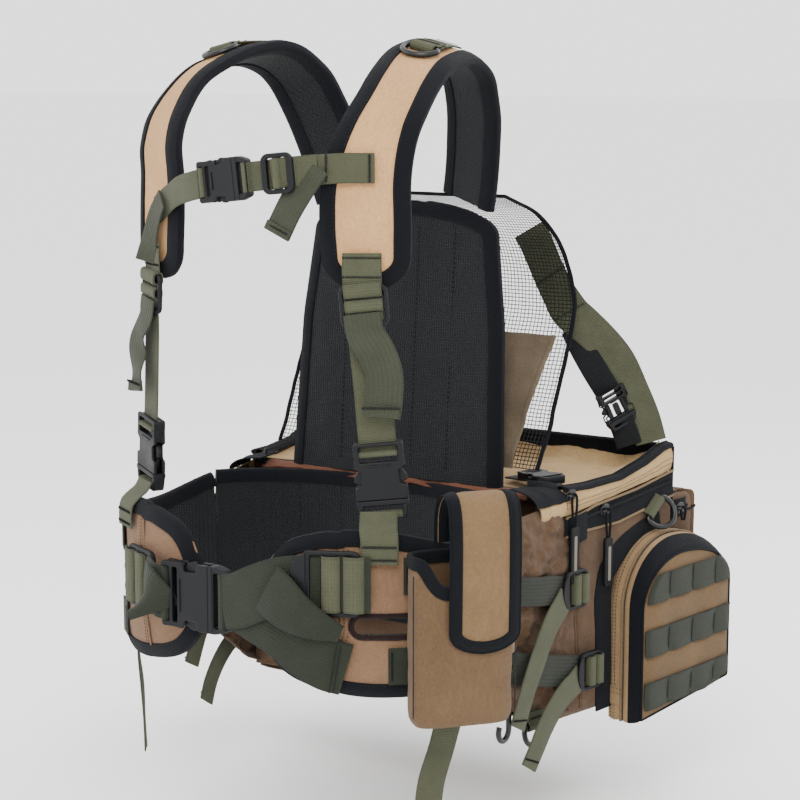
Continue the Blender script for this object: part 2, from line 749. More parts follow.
def buckle(place, web, length, depth):
    """A closed side-release buckle: parts of the female, of the male, and its two prongs."""
    half, part = (web + 12) / 2, -0.25 * length
    notch = 0.13 * web + 1.5
    right = [(half, part + 0.4), (half, -0.07 * length), (half - notch, -0.04 * length),
             (half - notch - 0.5, 0.13 * length), (half - 0.3, 0.18 * length), (half - 1.2, 0.32 * length),
             (half - 0.6, 0.5 * length)]
    outline = right + [(-x, y) for x, y in reversed(right)]
    radii = [0.6, 2, 2, 2, 2, 4, 2.5]
    outline = rounded(outline, radii + radii[::-1])
    slots = [rectangle(web + 1, 0.055 * length + 1.5, 1.2, (0, share * length)) for share in (0.29, 0.415)]
    plate = 0.27 * depth
    female = [moulded([outline] + slots, plate, place, bevel=0.9, lift=sign * (depth - plate) / 2)
              for sign in (1, -1)]
    tail = [(-half + 1.2, 0.19 * length), (half - 1.2, 0.19 * length), (half - 1, 0.49 * length),
            (-half + 1, 0.49 * length)]
    female.append(moulded([rounded(tail, 2.5)] + slots, 0.7 * depth, place, bevel=0.6))
    ridge = rectangle(web * 0.62, 1.4, 0.6, (0, 0.205 * length))
    female.append(moulded([ridge], 1.6, place, bevel=0.5, lift=depth / 2 + 0.2))
    base = [(half, part - 0.2), (half, -0.33 * length), (half - 3, -0.5 * length)]
    base = rounded(base + [(-x, y) for x, y in reversed(base)], [0.8, 4, 3, 3, 4, 0.8])
    mouth = rectangle(web + 1, 0.1 * length, 1.5, (0, -0.37 * length))
    male = [moulded([base, mouth], depth, place, bevel=1.4)]
    band = [(half - 0.6, part + 0.2), (half - 0.6, part - 4), (-half + 0.6, part - 4),
            (-half + 0.6, part + 0.2)]
    male.append(moulded([rounded(band, 0.7)], depth + 1.0, place, bevel=0.6))
    tongue = rectangle(6, 0.3 * length, 1.2, (0, -0.03 * length))
    male.append(moulded([tongue], depth * 0.38, place, bevel=0.6))
    prongs = []
    for side in (-1, 1):
        arm = [(half - 9.5, part + 0.5), (half - 6.2, part + 0.5), (half - 3.4, -0.035 * length),
               (half + 0.6, 0.0),
               (half + 0.4, 0.06 * length), (half - 3, 0.13 * length), (half - 7.5, 0.19 * length),
               (half - 9.5, 0.16 * length)]
        arm = [(side * x, y) for x, y in arm]
        arm = rounded(arm if side > 0 else arm[::-1], 1.0, 3)
        prongs.append(moulded([arm], depth * 0.4, place, bevel=0.8))
    return female, male, prongs


def split_buckle(name, place, sizes, upper, lower, material=WEB):
    """A buckle whose halves and prongs are pieces of their own, with webbing round the bar of each half."""
    female, male, prongs = buckle(place, *sizes)
    web, length, _ = sizes
    for half, (share, half_y, half_z) in ((female, upper), (male, lower)):
        half.append(band_loop(place, web, share * length, half_y, half_z, material))
    assemble(name + "_socket", female, [name + "_buckle_female"])
    assemble(name + "_plug", male, [name + "_buckle_male"])
    for sign, prong, height in zip((-1, 1), prongs, ("lower", "upper")):
        node = f"{name}_prong_{height}"
        assemble(f"{name}_buckle_arm_{sign}", [prong], [node], node)


WIRE = 2.6


def wire_ring(place, half_width, leg):
    """A welded ring with its straight bar along local X and its bow towards local -Y."""
    line = [(x, 0, 0) for x in np.linspace(-half_width + 4, half_width - 4, 8)]
    line += [(half_width - 1.2, -0.6, 0), (half_width, -3, 0)]
    for turn in np.linspace(0, math.pi, 22):
        line.append((half_width * math.cos(turn), -max(leg, 3.6) - half_width * math.sin(turn), 0))
    line += [(-half_width, -3, 0), (-half_width + 1.2, -0.6, 0)]
    path = np.array(through(place, line))
    return sweep(path, turned(place, (0, 0, 1)), ring_section(WIRE, count=14), METAL, closed=True)


def loop_round(place, reach):
    """A doubled webbing loop round a ring's bar at local X, sewn down towards local +Y."""
    width = 25.0
    ball = WIRE + 1.3
    line = [(0, reach, -1.4), (0, max(2.0, 0.4 * reach), -1.6)]
    line += [(0, -ball * math.cos(turn), ball * math.sin(turn))
             for turn in np.linspace(-math.pi / 2, math.pi / 2, 9)]
    line += [(0, max(2.0, 0.4 * reach), 1.6), (0, reach, 1.4)]
    rows = rows_of(turned(place, (1, 0, 0)), width, *through(place, line))
    seam = through(place, [(sign * width * 0.42, min(reach, ball + 4), 2.9) for sign in (-1, 1)])
    return [strap(rows, step=1.2), bartack(seam, turned(place, (0, 0, 1)), 2.6, 0.5)]


# ------------------------------------------------------------------ shoulder harness

CHEST = (0.91, 0.42, 0.0)
SLOPE = (0.93, 0.30, -0.18)
OVER = (0.97, 0.0, -0.25)
BEHIND = (0.96, -0.25, -0.08)
STRAP_ACROSS = (0.87, 0.49, 0.0)
STRAP_OUT = (0.49, -0.87, 0.0)
SHOULDER_LOCK = (114, -96.5, 262)
FRONT_BUCKLE = (125.5, -88.5, 114)
DOWN_STRAP = tuple(unit(np.array(SHOULDER_LOCK) - np.array(FRONT_BUCKLE)))
UP = (0.0, 0.0, 1.0)
FRONT_WIDTH, STERNUM_WIDTH, BELT_WIDTH = 32.0, 25.0, 48.0
FRONT = (0.0, -1.0, 0.0)


def with_normals(stations, inside):
    """Stations (centre, across, width) with a normal put in that points away from an inner point."""
    rows = []
    for number, (point, across, width) in enumerate(stations):
        before = np.array(stations[max(number - 1, 0)][0], float)
        after = np.array(stations[min(number + 1, len(stations) - 1)][0], float)
        normal = unit(np.cross(np.array(across, float), after - before))
        if np.dot(normal, np.array(point, float) - inside) < 0:
            normal = -normal
        rows.append((point, across, normal, width))
    return rows


def shoulder_pads():
    """Each pad over the shoulder, and the tab that holds its ring."""
    stations = rows_of(
        BEHIND, 60, (112, -89.5, 275, CHEST, 70), (112, -91, 300, CHEST, 71), (111, -91, 330, CHEST, 73),
        (111, -90, 362, CHEST, 71), (115, -86, 391, CHEST, 66), (117, -76, 412, CHEST, 62),
        (118, -60, 431, SLOPE, 59), (116, -38, 450, SLOPE, 58), (111, -8, 466, OVER), (106, 25, 474, OVER),
        (101, 53, 476, OVER), (98, 80, 469, OVER), (95, 104, 453), (90, 124, 424), (82, 138, 388),
        (74, 147, 352), (70, 150, 336))
    rows = with_normals(stations, (95, 30, 360))
    parts = bound_panel(rows, 9.0, 1.6, 3, PAD, reaches=(26, 0), rim=12.0, fold=1.1)
    pads = both("shoulder_pad_cover", parts, "pad_cloth", ["{side}_shoulder_pad"])
    # olive tab over the shoulder for the ring, and its sewn end
    ring_place = place_at((109, 4, 475.4), (0.12, 0.94, 0.26), (0.2, -0.27, 0.94))
    parts = loop_round(ring_place, 13.0)
    tab = rows_of(OVER, 26, (110.3, 15, 478.6), (106, 30, 479.4), (101.5, 46, 479.6), (99.6, 60, 478.4))
    parts.append(strap(tab, thickness=1.8))
    for x, y, z in ((107.7, 24, 480.6), (100.2, 56, 480.2)):
        ends = [(x - 10.7, y, z + 2.8), (x + 10.7, y, z - 2.8)]
        parts.append(bartack(ends, (0.25, 0, 0.97), 2.2, 0.5, 0.2))
    return ring_place, parts


def front_of_shoulders():
    """Lock, strap, loose tail and closed buckle below each pad, and the webbing that holds them."""
    lock_place = place_at(SHOULDER_LOCK, DOWN_STRAP, STRAP_OUT)
    locks = ladder(lock_place, FRONT_WIDTH)
    tab = rows_of(
        STRAP_ACROSS, 33, (113.2, -94.5, 268, STRAP_ACROSS, 32), (112.5, -97.0, 282), (112.3, -97.2, 306))
    locks.append(strap(tab))
    for z in (286, 302):
        line = [(98.5, -105.4, z), (126, -90.0, z)]
        locks.append(bartack(line, STRAP_OUT, 2.8, 0.55, 0.6))
    run = rows_of(
        STRAP_ACROSS, FRONT_WIDTH, (114.5, -97.5, 256), (115.6, -95.4, 240), (119.0, -92.6, 200),
        (123.2, -90.4, 146), (124.0, -90.0, 138))
    tail = rows_of(
        STRAP_ACROSS, FRONT_WIDTH, (115.5, -101.5, 256), (118.5, -101.5, 240, (0.86, 0.5, 0.05)),
        (127.0, -99.5, 226, (0.8, 0.58, 0.12)), (133.0, -96.0, 208, (0.93, 0.36, 0.05)),
        (134.0, -97.0, 186, (0.8, 0.6, -0.05)), (133.0, -99.0, 170, (0.86, 0.5, 0)))
    straps = [strap(run), strap(tail, TAIL, 1.6, curl=0.8)]
    hem = rows_of((0.86, 0.5, 0), 32.4, (133.2, -99.4, 180), (133.0, -101, 170.5))
    straps.append(strap(hem, TAIL, 2.2))
    line = [(119.5, -108.3, 178), (147.0, -92.3, 178)]
    straps.append(threads(line, STRAP_OUT, BLACK_THREAD, 1.2, 3.0, 0.6, 1.4, True))
    both("front_strap_set", straps, "webbing", shared=["front_straps"])
    length = 66.0
    place = place_at(FRONT_BUCKLE, DOWN_STRAP, STRAP_OUT)
    female, male, prongs = buckle(place, FRONT_WIDTH, length, 11.0)
    female.append(band_loop(place, FRONT_WIDTH, 0.353 * length, 2.6, 6.2))
    male.append(band_loop(place, FRONT_WIDTH, -0.45 * length, 3.4, 6.0))
    anchor = rows_of(
        STRAP_ACROSS, FRONT_WIDTH, (127.4, -95.0, 88), (129.4, -98.5, 81), (133.5, -105.0, 75),
        (137.5, -109.5, 68), (138.5, -110.8, 58), (138.5, -110.8, 47))
    male_loop = [strap(anchor)]
    for z in (62, 51):
        line = [(126.5, -118.2, z), (151.0, -104.4, z)]
        male_loop.append(bartack(line, STRAP_OUT, 3.0, 0.6, 0.8))
    return locks, female, male, prongs, male_loop


def sternum():
    """Chest strap: both runs, the doubled tail, the adjuster and the buckle."""
    across = (0.06, 0.0, 1.0)
    run = rows_of(
        across, STERNUM_WIDTH, (121, -90.8, 376), (108, -97.2, 376), (100, -101.5, 376), (84, -109, 375),
        (62, -122.4, 373), (40, -126.5, 370), (22, -127.6, 368))
    doubled = rows_of(across, STERNUM_WIDTH, (47, -133.5, 371), (62, -127.0, 373), (80, -114.5, 375))
    tail = rows_of(
        (0.9, 0.1, -0.4), 25, (79, -116.0, 378, (0.8, 0.3, -0.5)), (70, -122.5, 361, (0.85, 0.2, -0.45)),
        (60, -127.5, 342), (50, -130.5, 321.5))
    hem = rows_of((0.9, 0.1, -0.4), 25.5, (53.2, -131.2, 328), (50, -132.2, 321))
    far = rows_of(
        across, STERNUM_WIDTH, (-31, -126.6, 361), (-48, -122.5, 357.5), (-66, -116.4, 353),
        (-88, -104.5, 344), (-106, -97, 334))
    loose = rows_of(
        (0.75, -0.55, -0.35), 25, (-92, -108.0, 345), (-103, -104.5, 329, (0.85, -0.45, -0.3)),
        (-111, -102.0, 309, (0.9, -0.3, -0.3), 24), (-116, -101.0, 288, (0.93, 0.1, -0.3), 24))
    parts = [strap(run), strap(doubled), strap(hem, TAIL, 2.2),
             strap(tail, TAIL, 1.6, curl=0.6),
             strap(far), strap(loose, TAIL, 1.6)]
    for x, y in ((118, -93.6), (86, -110.4)):
        line = [(x, y, 365), (x, y, 387)]
        parts.append(bartack(line, (0.35, -0.93, 0), 3.0, 0.6, 0.8))
    line = [(42.5, -132.8, 329.5), (61.5, -132.0, 321.5)]
    parts.append(bartack(line, (0.1, -1, 0), 2.6, 0.5, 0.6))
    assemble("sternum_webbing", parts, ["sternum_straps"])
    place = place_at((51, -130.5, 371.5), (1, 0.1, 0.1), FRONT)
    glide = ladder(place, STERNUM_WIDTH, wraps=False, tongue=False)
    glide.append(band_loop(place, STERNUM_WIDTH, 0.0, 3.6, 4.4))
    assemble("sternum_tri_glide", glide, ["sternum_adjuster"])
    place = place_at((-5, -129, 364.5), (-1, 0, -0.12), FRONT)
    split_buckle("sternum", place, (STERNUM_WIDTH, 52.0, 10.0), (0.44, 2.8, 5.6), (-0.45, 2.8, 5.6))


# ------------------------------------------------------------------ hip belt

HALF_WIDTH, DEPTH_FRONT, DEPTH_BACK, SQUARENESS = 178.0, 127.0, 116.0, 2.3


def on_hips(angle, offset, z=0.0):
    """A point of the hip outline, in degrees from the front towards the left side."""
    sine, cosine = math.sin(math.radians(angle)), math.cos(math.radians(angle))
    power = 2 / SQUARENESS
    depth = DEPTH_FRONT if cosine > 0 else DEPTH_BACK
    x = (HALF_WIDTH + offset) * abs(sine) ** power
    y = -(depth + offset) * math.copysign(abs(cosine) ** power, cosine)
    return np.array([math.copysign(x, sine), y, z])


def hip_rows(stations, offset):
    """Stations of an upright panel round the hips from (angle, low edge, high edge)."""
    rows = []
    for angle, low, high in stations:
        point = on_hips(angle, offset, (low + high) / 2)
        tangent = on_hips(angle + 1, offset) - on_hips(angle - 1, offset)
        out = unit(np.cross(tangent, UP))
        if np.dot(out[:2], point[:2]) < 0:
            out = -out
        rows.append((point, UP, out, high - low))
    return rows


def hip_belt():
    """The two wings, each with a bound slot, a seam and webbing tabs, and the quilted lumbar pad."""
    stations = [(8.8, -36, 84), (13, -42, 82), (18, -50, 77), (26, -62, 72), (34, -67, 72),
                (44, -69, 70), (58, -69, 62), (74, -67, 52), (90, -66, 50), (104, -68, 56), (116, -72, 64)]
    rows = hip_rows(stations, 10.5)
    parts = bound_panel(rows, 9.5, 2.2, 11, WING, reaches=(50, 0), rim=11.0, fold=1.3, step=4.0, columns=31)
    # a long bound slot through the wing, seen from the front left
    middle = on_hips(48, 6, -8)
    along = on_hips(58, 6) - on_hips(38, 6)
    side = unit(np.array([*along[:2], 0.0]))
    out = np.cross(side, UP)
    wall_place = place_at(middle, side, out)
    hole = [(z, x) for x, z in rectangle(74, 19, 9)]
    cutter = moulded([hole], 40, wall_place, bevel=0.1)
    for thing in parts[:2]:
        carve = thing.modifiers.new("slot", "BOOLEAN")
        carve.operation = "DIFFERENCE"
        carve.object = cutter
        carve.solver = "EXACT"
        bpy.context.view_layer.objects.active = thing
        bpy.ops.object.modifier_apply(modifier="slot")
    bpy.data.objects.remove(cutter)
    edge = even(np.array([(x, y, 0) for x, y in hole]), 2.5, True)[:, :2]
    angles = np.linspace(20, 80, 241)
    curve = np.array([on_hips(angle, 12.0) for angle in angles])
    share = (curve - middle) @ side
    rim = []
    for across, along_side in edge:
        spot = np.array([np.interp(along_side, share, curve[:, axis]) for axis in range(3)])
        rim.append((spot[0], spot[1], middle[2] + across * (1 if wall_place[2][0] > 0 else -1)))
    rim = np.array(rim)
    parts.append(sweep(rim, out, ring_section(2.6, 2.4), RUST, closed=True))
    # seam across the wing's front section, with piping and dark rows of stitching
    heights = np.linspace(-55, 58, 30)
    lean = [31 + 0.075 * min(z + 12, 0) for z in heights]
    seam = np.array([on_hips(angle, 13.2, z) for angle, z in zip(lean, heights)])
    lifts = [unit(np.array([0.42, -0.9, 0]))] * len(seam)
    parts.append(sweep(seam, lifts, ring_section(1.3, 1.0, 8), WING))
    for shift in (0.9, 2.2):
        line = np.array([on_hips(angle + shift, 13.4, z) for angle, z in zip(lean, heights)])
        parts.append(threads(line, lifts[0], THREAD, 3.0, 2.3, 0.4))
    for angle, low in ((55, 20), (50, -58)):
        foot = on_hips(angle, 14.4)
        across = unit(on_hips(angle + 2, 0) - on_hips(angle - 2, 0))
        tab = rows_of(across, 25, (foot[0], foot[1], low + 32), (foot[0], foot[1], low))
        parts.append(strap(tab, GRID))
        edge = foot - across * 9.5
        ends = [(edge[0], edge[1], low + 4), (edge[0], edge[1], low + 28)]
        parts.append(bartack(ends, np.cross(across, UP), 2.4, 0.55, 1.2))
    wings = both("hip_wing_cover", parts, "pad_cloth", ["{side}_hip_wing"])
    stations = [(180 + turn, -72, 66) for turn in (-63.5, -48, -34, -22, -11, 0, 11, 22, 34, 48, 63.5)]
    parts = bound_panel(hip_rows(stations, 10.5), 9.5, 1.5, 17, SPACER, rim=10.0, step=6.0)
    for angle in (150, 165, 180, 195, 210):
        line = np.array([on_hips(angle, 0.2, z) for z in np.linspace(-58, 54, 20)])
        parts.append(threads(line, unit(-on_hips(angle, 0)), BLACK_THREAD, 4.5, 3.2, 0.6))
    assemble("lumbar_pad_cover", parts, ["lumbar_pad"])


def belt_webbing():
    """Left: a low run under the buckle's run, a lock and a folded tail. Right: one run, its lock and tail."""
    lower = rows_of(
        UP, BELT_WIDTH, (3, -148.2, 4), (18, -148.2, 3), (34, -147.6, -3, (0.1, 0.03, 0.99)),
        (58, -144.8, -14, (0.3, 0.05, 0.95)), (84, -139.5, -31, (0.42, 0.12, 0.9)),
        (102, -131.0, -41, (0.4, 0.15, 0.9)), (113, -123.5, -45, (0.38, 0.15, 0.9), 47))
    upper = rows_of(
        UP, BELT_WIDTH, (3, -151.4, 5), (18, -151.6, 8, (-0.12, 0, 0.99)),
        (40, -150.8, 18, (-0.28, 0, 0.96)), (60, -147.6, 26, (-0.16, 0, 0.98)), (74, -142.4, 29),
        (84, -137.5, 30), (94, -133.0, 30))
    tail = rows_of(
        (0.3, 0, 0.95), 47, (52, -153.2, 24.5), (64, -154.2, 17, (0.45, 0.05, 0.9), 46),
        (80, -152.0, 6, (0.5, 0.1, 0.85), 38), (97, -144.0, -4, (0.5, 0.2, 0.85), 27),
        (113, -131.5, -12, (0.45, 0.2, 0.85), 15))
    sewn = rows_of(UP, BELT_WIDTH, (112, -128.4, 30), (123, -123.2, 30), (134, -117.2, 30))
    far_run = rows_of(
        UP, BELT_WIDTH, (-61, -151.0, 4), (-70, -150.4, 4.5), (-80, -145.0, 6), (-92, -136.5, 7))
    far_sewn = [((x * -1, y, 7), across, width) for (x, y, _), across, width in sewn]
    far_tail = rows_of(
        UP, BELT_WIDTH, (-86, -147, 7), (-80, -153.0, 5, (0.1, 0.05, 0.99)),
        (-74, -156.5, -2, (0.35, 0.2, 0.9)), (-69, -156.6, -14, (0.6, 0.4, 0.7), 46))
    parts = [strap(lower, BELT, 2.0, curl=0.8), strap(upper, BELT, 2.0),
             strap(tail, BELT, 1.9, curl=1.6), strap(far_run, BELT, 2.0),
             strap(sewn, BELT, 1.8), strap(far_sewn, BELT, 1.8),
             strap(far_tail, BELT, 1.9, curl=2.0)]
    for shift in (4.0, 7.0):
        line = [(105.5 + shift, -134.8 + 0.6 * shift, -22), (98.5 + shift, -136.3 + 0.6 * shift, -64)]
        parts.append(bartack(line, (0.4, -0.9, 0), 2.2, 0.5, 0.4))
    assemble("belt_webbing", parts, ["waist_straps"])
    place = place_at((-29, -146, 4), (-1, 0, 0), FRONT)
    split_buckle("waist", place, (BELT_WIDTH, 70.0, 12.0), (0.46, 3.8, 6.8), (-0.44, 4.0, 6.8), BELT)
    waist_locks = []
    for turn, level in ((1, 30), (-1, 7)):
        place = place_at((103 * turn, -131, level), (0.91 * turn, 0.42, 0), (0.42 * turn, -0.91, 0))
        waist_locks += ladder(place, BELT_WIDTH)
    assemble("waist_ladder_locks", waist_locks)


def harness():
    """The front half: pads, straps, buckles, rings and belt."""
    ring_place, tab_parts = shoulder_pads()
    ring = wire_ring(ring_place, 16.0, 3.0)
    both("shoulder_wire_ring", [ring], "ring_metal", ["{side}_shoulder_ring"], "{side}_shoulder_ring")
    locks, female, male, prongs, anchor = front_of_shoulders()
    both("front_socket", female, "buckle_plastic", shared=["front_buckle_females"])
    both("front_plug", male, "buckle_plastic", shared=["front_buckle_males"])
    for prong, share in zip(prongs, ("inner", "outer")):
        node = "{side}_front_prong_" + share
        both("front_catch_" + share, [prong], "buckle_plastic", [node], node)
    sternum()
    hip_belt()
    belt_webbing()
    return locks, tab_parts + anchor


# ------------------------------------------------------------------ pack body

CORNER = np.array([178.0, 132.0, 0.0])
ALONG = np.array([0.17365, 0.98481, 0.0])
OUT = np.array([0.98481, -0.17365, 0.0])
FLOOR = -150.0
REAR_HALF = 207.5
REAR_Y = 299.4


def side(t, z, h=0.0):
    """A point by the pack's left side: t rearward from the front corner, z up, h out."""
    t, z, h = (np.asarray(value, float)[..., None] for value in (t, z, h))
    return CORNER + ALONG * t + OUT * h + np.array(UP) * z


def side_place(t, z, h=0.0):
    """A placement on the pack's side: local Y up and Z outward."""
    return place_at(side(t, z, h), UP, OUT)


def through_points(points, positions):
    """Straight-line interpolation through (t, value) pairs."""
    points = np.asarray(points, float)
    return np.interp(positions, points[:, 0], points[:, 1])


LOW_EDGE = [(-70, -104), (-27, -134), (12, -149), (40, -150), (176, -150)]
HIGH_EDGE = [(-70, 56), (-8, 62), (4, 46), (90, 56), (176, 67)]
BAND_HIGH = [(2, 46), (26, 47), (47, 52), (90, 56), (112, 58), (172, 68)]
BAND_LOW = [(2, 29), (26, 31), (84, 31), (172, 44)]
RIM_LOW = [(6, 48), (90, 58), (172, 69)]
RIM_HIGH = [(6, 72), (40, 70.5), (90, 72), (130, 81), (158, 91), (172, 93)]


def pack_sides():
    """Slack side fabric pinched by the straps, its seam, the pocket's frame and a folded corner."""
    across = np.linspace(-70, 176, 150)
    ups = np.linspace(0, 1, 90)
    low, high = through_points(LOW_EDGE, across), through_points(HIGH_EDGE, across)
    t = np.repeat(across[:, None], len(ups), axis=1)
    z = low[:, None] + (high - low)[:, None] * ups[None, :]
    flat = side(t, z)
    folds = wrinkle(flat, 34.0, 5.5, 21, (0.8, 0.8, 0.55)) + wrinkle(flat, 13.0, 0.7, 29, (1, 1, 0.7))
    pinched = np.exp(-((z + 20 + 0.1 * t) / 13) ** 2) + np.exp(-((z + 95 + 0.15 * t) / 14) ** 2)
    pinched *= 1 / (1 + np.exp((t - 40) / 8))
    seam_dip = np.exp(-((t - 23) / 4.0) ** 2)
    calm = 1 / (1 + np.exp((t - 44) / 3.0))
    loose = np.clip((high[:, None] - z - 8) / 24, 0, 1) * calm + np.clip((4 - t) / 12, 0, 1)
    loose = np.clip(loose, 0, 1) * (1 - 0.65 * np.clip((t - 6) / 10, 0, 1))
    h = 2.3 + (1.25 * loose + 0.1) * folds - 3.0 * pinched - 1.6 * seam_dip
    h += 3.0 * loose * np.sin(np.clip((z + 62) / 46, -1.5, 1.5)) ** 2 * (1 - pinched)
    h = np.maximum(h, 0.4) * (1 - np.exp(-(high[:, None] - z) / 8)) + 0.3
    under = np.clip((9 - (z - low[:, None])) / 9, 0, 1)
    h = h * (1 - under) - 7 * under ** 2
    ends = np.clip((t - 168) / 8, 0, 1)
    h = h - 7 * ends ** 2
    grid = side(np.minimum(t, 174), z, h)
    parts = [sheet_piece(grid, PACK, 1.3, inward=PACK_MIDDLE)]
    heights = np.linspace(-143, 28, 60)
    spots = through_points([(-143, 28.9), (-84, 24.7), (-34, 20.5), (13, 22.5), (44, 22.5)], heights)

    shares = (heights - through_points(LOW_EDGE, spots)) / (
        through_points(HIGH_EDGE, spots) - through_points(LOW_EDGE, spots))
    columns = np.round(np.interp(spots, across, np.arange(len(across)))).astype(int)
    lifts = h[columns, (np.clip(shares, 0, 1) * (len(ups) - 1)).astype(int)]
    line = side(spots, heights, lifts + 0.4)
    parts.append(sweep(line, OUT, ring_section(0.9, 0.7, 8), PACK))
    parts.append(threads(side(spots + 2.4, heights, lifts + 0.7), OUT, THREAD))
    # dark strip that frames the pocket on the pack's side
    strip = [(54, -150), (52, -80), (51, -30), (57, -9), (73, 6), (95, 18), (117, 25), (150, 31)]
    strip = spline([(t_value, z_value, 0) for t_value, z_value in strip], 4.0)[:, :2]
    normal_2d = np.gradient(strip, axis=0)
    normal_2d = unit(np.stack([normal_2d[:, 1], -normal_2d[:, 0]], axis=1))
    strips = [side(*(strip + normal_2d * reach).T, 3.4 + lift) for reach, lift in
              ((0, 0), (2, 0.6), (9, 0.5), (16, 0.8), (23, 0.3), (27, -1.0))]
    parts.append(sheet_piece(np.stack(strips, axis=1), NAVY, 1.2, inward=PACK_MIDDLE))
    corner = side(np.full(40, 172.8), np.linspace(-147, 70, 40), 0.8)
    parts.append(sweep(corner, OUT, ring_section(2.2, 2.2), NAVY))
    # the folded corner above the front bulge: a dark fold over a pale block
    t, share = grid_over((-34, 6, 22), (0, 1, 12))
    round_off = np.sin(share * math.pi) ** 0.5 * np.clip((6.5 - t) / 5, 0, 1) ** 0.5
    block = side(t, 48 + 17 * share + 0.06 * t, 1.5 + 4.5 * round_off)
    parts.append(sheet_piece(block, LID, 1.3, inward=PACK_MIDDLE))
    t, share = grid_over((-40, 5, 22), (0, 1, 12))
    reach = 5.5 - 34 * share ** 2
    fold = side(t, 63 + 13 * np.sin(share * math.pi / 2) + wrinkle(side(t, 60 + 9 * share), 14.0, 1.6, 23),
                reach)
    parts.append(sheet_piece(fold, NAVY, 1.3, inward=PACK_MIDDLE))
    both("pack_side_fabric", parts, "pack_cloth", shared=["pack_side_panels"])


def flat_panel(x, y, z, bulge, material, seed, fold=2.0, inward=PACK_MIDDLE):
    """A wrinkled sheet from grids of x, y and z; bulge is (axis, amount)."""
    grid = np.stack(np.broadcast_arrays(x, y, z), axis=-1).astype(float)
    axis, amount = bulge
    grid[..., axis] += amount * (0.6 + wrinkle(grid, 40.0, fold, seed))
    return sheet_piece(grid, material, 1.4, inward=inward)


def pack_walls():
    """Front, rear and base panels."""
    x, z = grid_over((-176, 176, 80), (-147, 66, 50))
    front = flat_panel(x, 133.0, z, (1, -0.5), PACK, 31)
    assemble("front_wall", [front], ["pack_front_panel"])
    x, z = grid_over((-204, 204, 90), (-147, 47, 50))
    rear = flat_panel(x, 297.6, z, (1, 1.0), PACK, 33, 0.6)
    assemble("rear_wall", [rear], ["pack_rear_panel"])
    share, x = grid_over((0, 1, 50), (-1, 1, 90))
    half = 172 + 30 * share
    base = flat_panel(x * half, 134 + 163 * share, FLOOR + 1.0 - 2 * (1 - x ** 8), (2, -0.8), PACK, 35,
                      1.2, (0, 200, 0))
    assemble("base_wall", [base], ["pack_base_panel"])


def band_line(points, low, high, h, step=4.0):
    """A line along the pack's side, at the heights given by points."""
    t = np.arange(low, high + step / 2, step)
    return side(t, through_points(points, t), h)


def zip_band():
    """The dark band round the top of the pack that carries the main zip."""
    t = np.arange(3, 173, 3.0)
    low, high = through_points(BAND_LOW, t), through_points(BAND_HIGH, t)
    shares = np.linspace(0, 1, 9)
    z = low[:, None] + (high - low)[:, None] * shares[None, :]
    ripple = wrinkle(side(t[:, None] + 0 * z, z), 22.0, 0.8, 41)
    tape = side(t[:, None] + 0 * z, z, 3.4 + ripple + 0.5 * np.sin(shares * math.pi)[None, :])
    parts = [sheet_piece(tape, NAVY, 1.2, inward=PACK_MIDDLE)]
    coil_t = np.linspace(20, 169, 60)
    coil = side(coil_t, 42.2 + 0.11 * (coil_t - 20), 4.6)
    parts.append(teeth(coil, OUT, 5.0, 1.0, 0.4))
    for shift in (-5.0, 5.0):
        parts.append(threads(coil + np.array([0, 0, shift]) - OUT * 0.4, OUT, BLACK_THREAD))
    for points, lift in ((BAND_LOW, -0.5), (BAND_HIGH, 0.5)):
        line = band_line(points, 4, 172, 3.8) + np.array([0, 0, lift])
        parts.append(sweep(line, OUT, ring_section(1.3, 1.1, 8), PIPING))
    garage = np.stack([side([6.0, 8.0, 16.0, 26.0, 33.0], level, [5.2, 7.4, 8.0, 7.6, 6.0])
                       for level in (47, 44, 36, 27, 21)], axis=0)
    garage[:, :, 2] += np.array([0, 0.2, 1.0, 1.8, 2.4])
    parts.append(sheet_piece(garage, NAVY, 1.6, inward=PACK_MIDDLE))
    both("main_zip_tape", parts, "zip_tape")
    x, z = grid_over((-206, 206, 90), (46, 66, 8))
    rear = [flat_panel(x, 300.2, z, (1, 0.5), NAVY, 43)]
    line = [(position, 302.2, 57) for position in np.linspace(-204, 204, 60)]
    rear.append(teeth(line, (0, 1, 0), 5.0, 1.0, 0.4))
    assemble("rear_zip_tape", rear, ["main_zip_band"])


